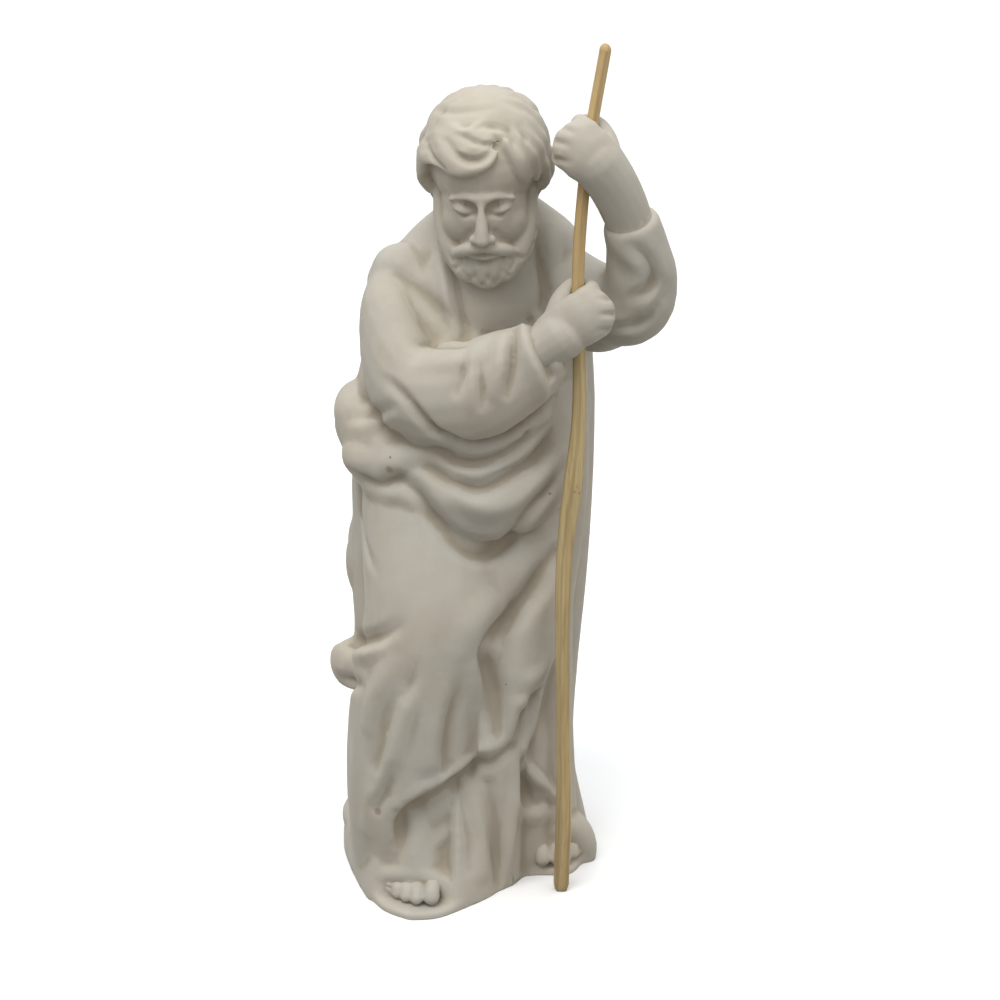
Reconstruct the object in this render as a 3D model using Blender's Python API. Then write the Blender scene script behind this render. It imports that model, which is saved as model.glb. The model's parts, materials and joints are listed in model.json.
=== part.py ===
"""Statuette of a bearded saint: a bisque porcelain figure that holds a loose wooden staff.

Units: metres, +Z up, the figure faces -Y, and its flat underside stands on z = 0.
The figure is a sculpture, so its pose and carving are shares of its own height. They are written in
sculptor's units, of which the figure is FIGURE_UNITS tall, so a unit is close to a millimetre.
The staff keeps its own length and thickness, and the channel through both fists is cut to it.
"""
import math

import bmesh
import bpy
import numpy as np
from mathutils import Euler, Matrix, Vector
from mathutils.bvhtree import BVHTree

# Driving dimensions, in metres
FIGURE_HEIGHT = 0.241
STAFF_LENGTH = 0.2535
STAFF_THICKNESS = 0.0046
GRIP_CLEARANCE = 0.0003

FIGURE_UNITS = 241.0
UNIT = FIGURE_HEIGHT / FIGURE_UNITS

# The drawing that the front is carved from: an eye looks down on the figure from the front.
# Across and up are measured in units on a plane through the figure's middle.
EYE_DISTANCE = 560.0
EYE_ELEVATION = math.radians(20)
DRAWING_CENTRE = Vector((0, -5, 118))
DRAWING_CENTRE_UP = 125.0
SIGHT = Vector((0, math.cos(EYE_ELEVATION), -math.sin(EYE_ELEVATION)))
SIGHT_UP = Vector((0, math.sin(EYE_ELEVATION), math.cos(EYE_ELEVATION)))
EYE = DRAWING_CENTRE - SIGHT * EYE_DISTANCE

# How finely the clay is meshed, in units
BODY_GRAIN = 1.5
HEAD_GRAIN = 0.75
HAND_GRAIN = 0.75
BODY_TRIANGLES = 4600
HEAD_TRIANGLES = 3000
HAND_TRIANGLES = 620
FOOT_TRIANGLES = 420

# How far each skin is smoothed, in units
CLOTH_SOFTNESS = 4.0
BODY_SOFTNESS = 1.6
FOLD_SOFTNESS = 1.3
HAIR_SOFTNESS = 1.7
FACE_SOFTNESS = 1.1
HAND_SOFTNESS = 1.5
FOOT_SOFTNESS = 1.0


def clear_scene():
    for thing in list(bpy.data.objects):
        bpy.data.objects.remove(thing, do_unlink=True)


# Clay: closed shapes as (points, faces), collected in a list and fused into one skin


def spline(values, steps):
    """Catmull-Rom curve through the rows of values, with steps samples between each two."""
    rows = np.asarray(values, float)
    if rows.ndim == 1:
        rows = rows[:, None]
    if len(rows) == 1:
        return rows
    ends = np.vstack([2 * rows[0] - rows[1], rows, 2 * rows[-1] - rows[-2]])
    out = []
    for i in range(len(rows) - 1):
        a, b, c, d = ends[i:i + 4]
        for t in np.arange(steps) / steps:
            out.append(0.5 * (2 * b + (c - a) * t + (2 * a - 5 * b + 4 * c - d) * t * t
                              + (3 * b - a - 3 * c + d) * t ** 3))
    out.append(rows[-1])
    return np.array(out)


def skin_rings(rings):
    """Closed shape from rings of equal length, its two ends closed to a point."""
    count, sides = len(rings), len(rings[0])
    points = np.vstack([*rings, rings[0].mean(0), rings[-1].mean(0)])
    low, high = count * sides, count * sides + 1
    faces = []
    for j in range(sides):
        k = (j + 1) % sides
        faces.append((low, k, j))
        faces.append((high, (count - 1) * sides + j, (count - 1) * sides + k))
        for i in range(count - 1):
            faces.append((i * sides + j, i * sides + k, (i + 1) * sides + k, (i + 1) * sides + j))
    return points, faces


# A round limb that climbs more than this keeps its rings from turning by taking the front as its up
UPRIGHT = 0.8


def limb(path, radii, flat=1.0, up=(0, 0, 1), sides=16, steps=6, end=1.0):
    """Round-ended tube along a smooth path. Flat is its depth as a share of its height along up, and end
    is how far its last end bulges, as a share of a round one."""
    centre = spline(path, steps)
    radius = np.abs(spline(radii, steps)[:, 0])
    along = np.gradient(centre, axis=0)
    along /= np.linalg.norm(along, axis=1)[:, None]
    if flat == 1 and np.abs(along[:, 2]).mean() > UPRIGHT:
        up = (0, 1, 0)
    across = np.cross(along, np.asarray(up, float))
    across /= np.maximum(np.linalg.norm(across, axis=1), 1e-6)[:, None]
    high = np.cross(across, along)
    turn = np.arange(sides) * 2 * math.pi / sides

    def ring(i, shift, share):
        wide = radius[i] * share
        return (centre[i] + along[i] * shift * radius[i]
                + wide * (flat * np.outer(np.cos(turn), across[i]) + np.outer(np.sin(turn), high[i])))

    cap = [math.radians(a) for a in (78, 52, 26)]
    rings = [ring(0, -math.sin(a), math.cos(a)) for a in cap]
    rings += [ring(i, 0, 1) for i in range(len(centre))]
    rings += [ring(len(centre) - 1, math.sin(a) * end, math.cos(a)) for a in reversed(cap)]
    return skin_rings(rings)


def ball(centre, radii, tilt=(0, 0, 0)):
    """Ellipsoid with tilt in degrees about X, Y and Z."""
    bm = bmesh.new()
    bmesh.ops.create_uvsphere(bm, u_segments=20, v_segments=14, radius=1)
    place = (Matrix.Translation(centre) @ Euler([math.radians(a) for a in tilt]).to_matrix().to_4x4()
             @ Matrix.Diagonal((*radii, 1)))
    bmesh.ops.transform(bm, matrix=place, verts=bm.verts)
    bm.verts.ensure_lookup_table()
    points = np.array([v.co[:] for v in bm.verts])
    faces = [tuple(v.index for v in f.verts) for f in bm.faces]
    bm.free()
    return points, faces


def column(stations, sides=48, steps=4, square=2.3):
    """Upright loft. Each station is (height, left, right, front, back) of a rounded section."""
    turn = np.arange(sides) * 2 * math.pi / sides
    cos, sin = np.cos(turn), np.sin(turn)
    bend = 2 / square
    rings = []
    for height, left, right, front, back in spline(stations, steps):
        x = (left + right) / 2 + (right - left) / 2 * np.sign(cos) * np.abs(cos) ** bend
        y = (front + back) / 2 + (back - front) / 2 * np.sign(sin) * np.abs(sin) ** bend
        rings.append(np.stack([x, y, np.full(sides, height)], 1))
    return skin_rings(rings)


def slab(outline, low, high):
    """Flat plate with a smooth closed outline."""
    loop = list(outline) + [outline[0]]
    ring = spline(loop, 6)[:-1]
    return skin_rings([np.column_stack([ring, np.full(len(ring), z)]) for z in (low, high)])


def mesh_object(name, points, faces):
    mesh = bpy.data.meshes.new(name)
    mesh.from_pydata([tuple(p) for p in points], [], [tuple(f) for f in faces])
    thing = bpy.data.objects.new(name, mesh)
    bpy.context.scene.collection.objects.link(thing)
    return thing


def face_out(thing):
    """Turns every face of closed shapes outward."""
    bm = bmesh.new()
    bm.from_mesh(thing.data)
    bmesh.ops.recalc_face_normals(bm, faces=bm.faces)
    bm.to_mesh(thing.data)
    bm.free()
    return thing


def gather(name, clay):
    """One object that holds every shape in clay, overlapping."""
    points, faces, start = [], [], 0
    for some, skin in clay:
        points.append(some)
        faces += [tuple(i + start for i in f) for f in skin]
        start += len(some)
    return face_out(mesh_object(name, np.vstack(points), faces))


def add_mesh(thing, other):
    """Adds the other object's faces as they are. The other one is used up."""
    bm = bmesh.new()
    bm.from_mesh(thing.data)
    bm.from_mesh(other.data)
    bm.to_mesh(thing.data)
    bm.free()
    bpy.data.objects.remove(other, do_unlink=True)


def settle(thing):
    """Replaces an object's mesh with what its modifiers make of it."""
    bpy.context.view_layer.update()
    graph = bpy.context.evaluated_depsgraph_get()
    made = bpy.data.meshes.new_from_object(thing.evaluated_get(graph))
    thing.modifiers.clear()
    thing.data = made
    return thing


def fuse(thing, grain):
    remesh = thing.modifiers.new("fuse", "REMESH")
    remesh.mode = "VOXEL"
    remesh.voxel_size = grain
    remesh.adaptivity = 0
    return settle(thing)


def relax(thing, radius, grain):
    """Smooths the skin over about the given radius, whatever the grain."""
    smooth = thing.modifiers.new("relax", "SMOOTH")
    smooth.factor = 0.5
    smooth.iterations = max(1, round(2 * (radius / grain) ** 2))
    return settle(thing)


def combine(thing, other, operation):
    """Boolean of two objects. The other one is used up."""
    boolean = thing.modifiers.new("combine", "BOOLEAN")
    boolean.operation = operation
    boolean.solver = "EXACT"
    boolean.object = other
    settle(thing)
    bpy.data.objects.remove(other, do_unlink=True)
    return thing


def thin_out(thing, triangles):
    thing.data.calc_loop_triangles()
    decimate = thing.modifiers.new("thin out", "DECIMATE")
    decimate.ratio = min(1.0, triangles / len(thing.data.loop_triangles))
    return settle(thing)


# Carving: strokes that raise or sink the skin along a path, seen from one side


def from_eye(across, up):
    """Ray through a place on the front drawing."""
    target = DRAWING_CENTRE + Vector((across, 0, 0)) + SIGHT_UP * (up - DRAWING_CENTRE_UP)
    return EYE, (target - EYE).normalized()


def from_side(azimuth):
    """Level rays from one side: azimuth 0 is the front, 90 the figure's left, 180 the back."""
    turn = math.radians(azimuth)
    away = Vector((math.sin(turn), -math.cos(turn), 0))
    right = Vector((math.cos(turn), math.sin(turn), 0))

    def ray(across, up):
        return right * across + Vector((0, 0, up)) + away * 300, -away

    return ray


def close_steps(hits, heights, facing, step):
    """The stroke's places again, spaced evenly about a step apart along the skin."""
    run = np.concatenate([[0], np.cumsum(np.linalg.norm(np.diff(hits, axis=0), axis=1))])
    places = np.linspace(0, run[-1], max(3, int(run[-1] / step) + 1))
    hits = np.column_stack([np.interp(places, run, hits[:, k]) for k in range(3)])
    facing = np.column_stack([np.interp(places, run, facing[:, k]) for k in range(3)])
    facing /= np.maximum(np.linalg.norm(facing, axis=1), 1e-6)[:, None]
    return hits, np.interp(places, run, heights), facing


# A stroke skips skin that lies flatter than this to its ray, and a valley is narrower than a ridge
GRAZING = 0.2
VALLEY_POWER = 1.4


def carve(thing, strokes, ray=from_eye, relief=1.0, spread=1.0):
    """Each stroke is (width, steep, [(across, up, height), ...]). A positive height is a ridge, a
    negative one a groove. Steep, from -1 to 1, makes its left or right side the sharper one. Relief
    multiplies the heights and spread the widths."""
    mesh = thing.data
    count = len(mesh.vertices)
    points = np.empty(count * 3)
    normals = np.empty(count * 3)
    mesh.vertices.foreach_get("co", points)
    mesh.vertex_normals.foreach_get("vector", normals)
    points, normals = points.reshape(-1, 3), normals.reshape(-1, 3)
    tree = BVHTree.FromPolygons([v.co for v in mesh.vertices], [p.vertices[:] for p in mesh.polygons])
    lift = np.zeros(count)
    for narrow, steep, marks in strokes:
        width = narrow * spread
        route = spline(marks, 8)
        hits, heights, facing = [], [], []
        for across, up, height in route:
            start, direction = ray(across, up)
            spot, normal, _, _ = tree.ray_cast(start, direction)
            if spot is not None and -normal.dot(direction) > GRAZING:
                hits.append(spot[:])
                heights.append(height)
                facing.append(normal[:])
        if len(hits) < 2:
            continue
        hits, heights, facing = close_steps(np.array(hits), np.array(heights), np.array(facing), width / 6)
        near = np.where(((points > hits.min(0) - width) & (points < hits.max(0) + width)).all(1))[0]
        if not len(near):
            continue
        gap = points[near][:, None, :] - hits[None]
        distance = np.linalg.norm(gap, axis=2)
        nearest = distance.argmin(1)
        rows = np.arange(len(near))
        distance = distance[rows, nearest]
        along = np.gradient(hits, axis=0)[nearest]
        side = np.sign((np.cross(facing[nearest], along) * gap[rows, nearest]).sum(1))
        reach = width * (1 - np.clip(side * steep, 0, 1) * 0.8)
        bell = np.clip(1 - distance / reach, 0, 1)
        bell = bell * bell * (3 - 2 * bell)
        bell = np.where(heights[nearest] < 0, bell ** VALLEY_POWER, bell)
        agree = (normals[near] * facing[nearest]).sum(1) > -0.1
        lift[near] += heights[nearest] * bell * agree
    points += normals * lift[:, None] * relief
    mesh.vertices.foreach_set("co", points.ravel())
    mesh.update()
    return thing


# The head, in its own frame: its centre at the origin, facing -Y

HEAD_CENTRE = (4.2, -15.5, 215.0)
HEAD_SIZE = 1.03
HEAD_BOW = 17.0
HEAD_TURN = -5.0
HEAD_LEAN = -2.0


def mirrored(clay):
    """The clay and its mirror image across X."""
    other = [(points * (-1, 1, 1), [f[::-1] for f in faces]) for points, faces in clay]
    return clay + other


def face_clay():
    centre = [
        ball((0, 2, 6), (14.6, 16.5, 14.0)),
        ball((0, -3.6, -4.5), (11.8, 12.2, 16.5)),
        ball((0, -6.5, -14.5), (8.6, 8.0, 7.2)),
        limb([(-8.5, -12.0, 1.4), (-3.4, -14.0, 2.2), (3.4, -14.0, 2.2),
              (8.5, -12.0, 1.4)], [0.7, 1.5, 1.5, 0.7]),
        limb([(0, -13.6, 2.4), (0, -16.2, -2.2), (0, -18.3, -6.4)], [1.9, 1.8, 2.1], flat=0.9),
        ball((0, -19.0, -7.4), (2.0, 2.0, 1.7)),
        limb([(-3.4, -15.3, -13.6), (0, -16.6, -13.3), (3.4, -15.3, -13.6)], [0.9, 1.2, 0.9]),
        limb([(0, 2, -12), (0, 6, -22), (0, 9, -30)], [9.5, 10.0, 12.0]),
    ]
    pair = mirrored([
        ball((2.2, -17.2, -7.9), (1.5, 1.7, 1.3)),
        ball((5.7, -8.4, -6.6), (5.6, 4.9, 6.4)),
        ball((4.9, -12.2, -0.9), (3.0, 2.6, 2.3)),
    ])
    return centre + pair


def beard_clay():
    centre = [
        ball((0, -9.6, -18.6), (8.6, 7.6, 6.4)),
        ball((0, -12.6, -20.4), (5.2, 4.6, 4.6)),
        ball((0, -15.2, -16.6), (2.6, 1.6, 1.6)),
    ]
    pair = mirrored([
        limb([(12.2, -1.4, 0.0), (12.0, -4.6, -7.0), (9.8, -8.6, -14.0), (5.0, -12.4, -19.0)],
             [1.8, 3.0, 3.8, 4.4], flat=0.8),
        limb([(0.9, -17.3, -10.6), (4.2, -15.8, -11.6), (7.6, -12.9, -14.2), (9.2, -10.6, -17.4)],
             [1.3, 1.8, 1.5, 0.9]),
    ])
    return centre + pair


def hair_spot(azimuth, climb, swell=1.0):
    """Point on the hair's shell: azimuth 0 is the forehead, 90 the figure's left, and climb runs from the
    brow to the crown."""
    a, c = math.radians(azimuth), math.radians(climb)
    return (17.0 * swell * math.sin(a) * math.cos(c),
            3.0 - 18.4 * swell * math.cos(a) * math.cos(c),
            6.0 + 15.8 * swell * math.sin(c))


def lock(spots, radii, flat=0.75, swell=1.0):
    return limb([hair_spot(*spot, swell) for spot in spots], radii, flat=flat, sides=12)


def hair_clay():
    shell = [
        ball((0, 5.0, 7.6), (15.8, 17.0, 15.4)),
        ball((0, 9.0, -4.0), (14.9, 11.5, 13.6)),
        ball((0.3, 5.0, 11.8), (16.3, 14.5, 12.5)),
    ]
    # Fringe: nested locks swing from the parting over the left brow down across the forehead
    fringe = [
        lock([(22 - 2 * k, 34 + 8 * k), (6 - 2 * k, 21 + 9 * k), (-20, 13 + 9 * k), (-46, 17 + 8.5 * k),
              (-68 - 3 * k, 6 + 8 * k)], [0.8, 1.5 - 0.3 * (k % 2), 1.6 - 0.4 * (k % 2), 1.4, 0.8])
        for k in range(5)
    ]
    left = [
        lock([(26 + 15 * k, 52), (33 + 15 * k, 34), (40 + 15 * k, 14), (47 + 15 * k, -4 - 5 * k)],
             [1.2, 2.1, 2.4, 1.6], swell=0.95)
        for k in range(4)
    ]
    sides = [
        lock([(azimuth, 40), (azimuth + 8, 16), (azimuth + 4, -14), (azimuth + 9, -40)],
             [0.8, 1.9, 2.3, 1.7])
        for azimuth in (-156, -132, -108, -84, 104, 126, 148, 170, 192)
    ]
    temples = [
        lock([(-70, 12), (-76, -10), (-74, -34)], [2.0, 2.4, 1.4]),
        lock([(-88, 10), (-92, -16), (-89, -42)], [2.0, 2.8, 1.9]),
        lock([(74, 0), (78, -18), (77, -38)], [2.0, 2.4, 1.4]),
        lock([(92, 4), (94, -20), (92, -44)], [2.0, 2.8, 1.9]),
    ]
    return shell + fringe + left + sides + temples


FACE_STROKES = [
    # eye sockets, the crease above each lid, the lid's edge, and the corner by the nose
    (3.2, 0, [(-6.6, 1.2, -0.7), (-4.0, 1.0, -1.3), (-2.2, -0.6, -1.2)]),
    (3.2, 0, [(6.6, 1.2, -0.7), (4.0, 1.0, -1.3), (2.2, -0.6, -1.2)]),
    (1.1, 0, [(-7.4, -1.6, -0.4), (-4.9, -2.6, -0.9), (-2.4, -1.7, -0.4)]),
    (1.1, 0, [(7.4, -1.6, -0.4), (4.9, -2.6, -0.9), (2.4, -1.7, -0.4)]),
    # between the lips, and below the lower one
    (1.0, 0, [(-3.6, -13.0, -0.3), (0, -12.6, -0.9), (3.6, -13.0, -0.3)]),
    (1.8, 0, [(-2.6, -15.2, -0.2), (0, -15.4, -0.7), (2.6, -15.2, -0.2)]),
    # from the nose to the cheek
    (2.2, 0, [(-3.4, -7.0, -0.5), (-5.6, -9.8, -0.4), (-7.6, -12.0, -0.1)]),
    (2.2, 0, [(3.4, -7.0, -0.5), (5.6, -9.8, -0.4), (7.6, -12.0, -0.1)]),
]


def beard_strokes():
    """Short wavy tufts round the rim of the chin."""
    strokes = []
    for i in range(-5, 6):
        fan = i / 5
        drop = 5.4 * abs(fan) ** 1.7
        sway = 0.6 * (-1) ** i
        strokes.append((1.7, 0.2, [(fan * 8.2, -17.8 + drop, -0.05), (fan * 8.8 + sway, -20.0 + drop, -0.4),
                                   (fan * 9.4 - sway, -22.6 + 1.2 * drop, -0.5)]))
    return strokes


def whisker_strokes():
    """Short curls down the jaw, seen from the side: from front to back, and up."""
    strokes = []
    for k in range(5):
        back, up = -2.6 - 1.7 * k, -3.5 - 2.8 * k
        strokes.append((1.3, 0, [(back + 2.2, up + 0.8, -0.3), (back, up, -0.9),
                                 (back - 1.6, up - 1.8, -0.4)]))
    return strokes


def hair_strokes():
    """Shallow grooves that swirl out from the crown over the top and the back of the head."""
    strokes = []
    for k, azimuth in enumerate(range(65, 290, 25)):
        sway = 6 * (-1) ** k
        strokes.append((3.0, 0.3, [(azimuth, 78, -0.1), (azimuth + 12, 62, -0.5),
                                   (azimuth + 14 + sway, 46, -0.6), (azimuth + 22, 30, -0.3)]))
    return strokes


# The front hair on the front drawing: locks hang in nested curves to the right of the parting, and
# fall away beside the temple at its left
FRONT_HAIR = [
    (2.2, 0, [(1.5, 236, -0.3), (6, 236.4, -0.7), (11, 235.2, -0.5)]),
    (2.2, 0.3, [(-3.4, 234, -0.3), (1.6, 231.8, -0.9), (6, 231, -0.9), (10.4, 233.4, -0.4)]),
    (2.6, 0.3, [(-7.4, 232, -0.3), (-3, 227.3, -1.0), (0.6, 226.1, -1.2), (4.5, 227.2, -1.0),
                (8.4, 231.4, -0.4)]),
    (3.0, 0, [(-12, 236.4, 0.1), (-10.2, 233.6, 0.3), (-7.4, 227, 0.4), (-3, 224, 0.3), (3, 223.6, 0.3),
              (8, 227, 0.1)]),
    (2.2, 0.3, [(-13, 232, -0.3), (-11.2, 227, -0.8), (-7.8, 223.6, -0.6)]),
    (2.8, -0.3, [(11.6, 237, -0.2), (12.6, 232, -0.6), (14.2, 228, -0.6), (16, 222.6, -0.2)]),
    (2.8, -0.3, [(15, 236, -0.2), (17, 230.4, -0.5), (19, 224, -0.2)]),
    (2.6, 0, [(-12.4, 242, -0.2), (-6, 240.6, -0.6), (0, 240.8, -0.5), (7, 241.6, -0.2)]),
]


def level_front(across, up):
    return Vector((across, -60, up)), Vector((0, 1, 0))


def level_right(back, up):
    return Vector((-60, back, up)), Vector((1, 0, 0))


def level_left(back, up):
    return Vector((60, back, up)), Vector((-1, 0, 0))


def to_crown(azimuth, climb):
    """Ray from outside to the middle of the hair's shell."""
    start = Vector(hair_spot(azimuth, climb, 2.5))
    return start, (Vector(hair_spot(0, 0, 0)) - start).normalized()


def make_head():
    hair = fuse(gather("hair", hair_clay()), HEAD_GRAIN)
    relax(hair, HAIR_SOFTNESS, HEAD_GRAIN)
    head = gather("head", face_clay() + beard_clay())
    add_mesh(head, hair)
    fuse(head, HEAD_GRAIN)
    relax(head, FACE_SOFTNESS, HEAD_GRAIN)
    carve(head, FACE_STROKES + beard_strokes(), level_front)
    carve(head, whisker_strokes(), level_right)
    carve(head, whisker_strokes(), level_left)
    carve(head, hair_strokes(), to_crown)
    turn = Euler([math.radians(HEAD_BOW), math.radians(HEAD_LEAN), math.radians(HEAD_TURN)])
    tilt = turn.to_matrix().to_4x4()
    head.data.transform(Matrix.Translation(HEAD_CENTRE) @ tilt @ Matrix.Scale(HEAD_SIZE, 4))
    carve(head, FRONT_HAIR)
    thin_out(head, HEAD_TRIANGLES)
    return head


# The staff: a whittled stick with a slight crook, given by where it passes at each height

STAFF_ROUTE = [
    # across, front to back, height, thickness as a share of STAFF_THICKNESS
    (28.0, -29.8, 0, 1.10),
    (28.3, -31.5, 30, 1.14),
    (27.4, -32.6, 64, 0.96),
    (26.7, -33.0, 100, 1.02),
    (27.4, -33.0, 118, 1.12),
    (28.9, -33.0, 133, 1.24),
    (30.2, -33.0, 152, 0.92),
    (29.9, -33.0, 172, 0.80),
    (29.2, -32.6, 192, 0.78),
    (29.8, -31.8, 210, 0.78),
    (31.6, -30.8, 229, 0.76),
    (35.4, -28.6, 252, 0.72),
]
STAFF_SIDES = 12
STAFF_STEPS = 2
STAFF_END_RUN = 2.0


def staff_rings(extra=0.0, low=0.0, high=None):
    """Rings of the staff in units, each extra units thicker all round than the wood."""
    route = spline(STAFF_ROUTE, STAFF_STEPS)
    top = STAFF_LENGTH / UNIT if high is None else high
    slope = (route[-1] - route[-3]) / (route[-1][2] - route[-3][2])
    base = route[0].copy()
    base[2] = low
    route = np.vstack([base, route[(route[:, 2] > low + 0.5) & (route[:, 2] < top - 0.5)]])
    route = np.vstack([route, route[-1] + slope * (top - route[-1][2])])
    turn = (np.arange(STAFF_SIDES) + 0.5) * 2 * math.pi / STAFF_SIDES
    circle = np.column_stack([np.cos(turn), np.sin(turn), np.zeros(STAFF_SIDES)])
    return [row[:3] + circle * (row[3] * STAFF_THICKNESS / UNIT / 2 + extra) for row in route]


def make_staff():
    """The stick, cut square at the foot and rounded at the top."""
    top = STAFF_LENGTH / UNIT
    rings = staff_rings(high=top - STAFF_END_RUN)
    tip, centre = rings[-1], rings[-1].mean(0)
    for share in (0.35, 0.7, 0.94):
        rise = np.array([0, 0, STAFF_END_RUN * share])
        rings.append(centre + (tip - centre) * math.sqrt(1 - share ** 2) + rise)
    points, faces = skin_rings(rings)
    points[-1][2] = top
    return mesh_object("staff", points, faces)


def staff_at(height):
    """Where the staff's centre line is at a height, and its direction there."""
    route = spline(STAFF_ROUTE, 8)[:, :3]
    spot = np.array([np.interp(height, route[:, 2], route[:, k]) for k in range(3)])
    ahead = np.array([np.interp(height + 4, route[:, 2], route[:, k]) for k in range(3)])
    return spot, ahead - spot


# Hands: fists closed on the staff. In a fist's own frame the staff runs along Z through the origin,
# the back of the hand is towards -Y and the knuckles towards +X

FIST_SIZE = 0.96
FINGER_HEIGHTS = (5.9, 2.3, -1.3, -4.8)

# Each forearm runs from inside its sleeve to the wrist: across, front to back, height, radius
LOWER_FOREARM = [(6, -31, 163, 5.2), (13, -33, 168, 5.6), (19, -34.4, 172.4, 6.2), (25, -35.4, 176.8, 7.2)]
UPPER_FOREARM = [(46.8, -24, 192, 5.2), (45.2, -26.2, 200, 6.0), (41.9, -28.8, 209.5, 6.6),
                 (37.9, -31.4, 217.5, 6.9), (33.6, -33, 223.4, 7.4)]


def fist_clay():
    """Back of the hand, four curled fingers and the thumb."""
    clay = [
        limb([(-8, -2.2, -2.4), (-3.5, -3.8, -0.9), (0.5, -4.4, -0.2), (3.2, -4.2, 0.2)],
             [6.6, 7.4, 8.0, 7.6], flat=0.56),
        ball((-3.5, 0.6, -1.2), (6.5, 4.8, 6.8)),
        limb([(-8, -0.6, -1.6), (-4, 1.4, 4.4), (0.4, 3.9, 7.4), (3.8, 4.2, 7.2)], [3.8, 3.4, 2.8, 2.3]),
    ]
    for height in FINGER_HEIGHTS:
        clay.append(limb([(3.0, -4.2, height), (5.5, -2.0, height), (5.5, 2.4, height * 0.98),
                          (3.6, 5.0, height * 0.96), (-1.5, 4.8, height * 0.94)],
                         [2.7, 2.7, 2.6, 2.5, 2.2], sides=12))
    return clay


def make_hand(name, height, knuckles, roll, forearm):
    """A fist round the staff at a height, with its forearm. Knuckles is 1 towards +X and -1 towards -X,
    roll is in degrees."""
    spot, direction = staff_at(height)
    lean = Vector((0, 0, 1)).rotation_difference(Vector(direction)).to_matrix().to_4x4()
    swing = Matrix.Rotation(math.radians(roll), 4, "Y")
    side = Matrix.Diagonal((knuckles, 1, 1, 1))
    place = Matrix.Translation(spot) @ swing @ lean @ side @ Matrix.Scale(FIST_SIZE, 4)
    own = place.inverted()
    path = [(own @ Vector(mark[:3]))[:] for mark in forearm]
    arm = limb(path, [mark[3] / FIST_SIZE for mark in forearm])
    hand = fuse(gather(name, fist_clay() + [arm]), HAND_GRAIN)
    relax(hand, HAND_SOFTNESS, HAND_GRAIN)
    hand.data.transform(place)
    carve(face_out(hand), FINGER_CREASES)
    thin_out(hand, HAND_TRIANGLES)
    return hand


# Between the fingers of both fists, on the front drawing
FINGER_CREASES = [
    (1.8, 0, [(24.7, 226.5, -0.9), (26.8, 226.2, -0.7), (29.4, 225.6, -0.2)]),
    (1.8, 0, [(25.4, 231.8, -0.7), (27.7, 231.2, -0.5), (30.2, 230.4, -0.1)]),
    (1.8, 0, [(27.2, 236, -0.6), (29.6, 235.1, -0.4), (31.9, 233.9, -0.1)]),
    (1.8, 0, [(26.4, 221.8, -0.6), (28.6, 221.2, -0.3)]),
    (1.8, 0, [(42.6, 184.8, -0.8), (40.5, 185, -0.6), (38, 185, -0.1)]),
    (1.8, 0, [(43.4, 180.2, -0.8), (40.8, 180.3, -0.6), (38, 180.3, -0.1)]),
    (1.8, 0, [(42.8, 175.4, -0.7), (40.5, 175.5, -0.5), (38, 175.6, -0.1)]),
]

# Each hand: its height on the staff, the X side of its knuckles, its roll and its forearm
HANDS = [
    ("lower hand", 181.6, 1, -16, LOWER_FOREARM),
    ("upper hand", 225.6, -1, 22, UPPER_FOREARM),
]

# Feet: bare toes that come out from under the hem. In its own frame a foot points to -Y

FOOT_SIZE = 0.9
TOES = [
    # across from the big toe's centre, tip, radius
    (0.0, -8.6, 2.9),
    (4.9, -8.8, 2.3),
    (8.6, -7.6, 2.15),
    (11.9, -5.8, 2.0),
    (14.8, -3.4, 1.9),
]


def make_foot(name, place, little_side, turn):
    """A foot at the place of its big toe's root. Little_side is the X side that its small toes are on."""
    clay = [
        limb([(6.5, 16, 8), (6.8, 6, 6.0), (7.0, -1.5, 3.4)], [7.0, 6.2, 4.6], flat=1.4),
        ball((7.0, 0, 2.2), (9.6, 5.6, 3.4)),
    ]
    for across, tip, radius in TOES:
        clay.append(limb([(across, 4.0, radius + 4.0), (across, (tip + 1) / 2, radius + 2.9),
                          (across, tip + radius, radius + 0.7)], [radius, radius * 0.93, radius], sides=12))
    foot = fuse(gather(name, clay), HAND_GRAIN)
    relax(foot, FOOT_SOFTNESS, HAND_GRAIN)
    thin_out(foot, FOOT_TRIANGLES)
    if little_side < 0:
        foot.data.transform(Matrix.Scale(-1, 4, (1, 0, 0)))
        foot.data.flip_normals()
    heading = Matrix.Rotation(math.radians(turn), 4, "Z")
    foot.data.transform(Matrix.Translation(place) @ heading @ Matrix.Scale(FOOT_SIZE, 4))
    return foot


# Each foot: its big toe's root, the X side of its small toes, and how far it turns about Z
FEET = [
    ("front foot", (-10.8, -37.2, 1.8), -1, -9),
    ("rear foot", (21.2, -16, 2.4), 1, 14),
]

# The clothed body

PLINTH_OUTLINE = [
    (-18, -47.5), (-10, -46.5), (-3, -42), (5, -35), (11, -28), (16, -23), (23, -22), (31, -21.5),
    (36, -12),
    (38, 2), (35, 20), (24, 31), (6, 36), (-14, 35.5), (-31, 28), (-39.5, 14), (-40, -3), (-37.5, -15),
    (-33, -29), (-26.5, -41.5),
]
PLINTH_HEIGHT = 2.2
BELOW_GROUND = -6

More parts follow.
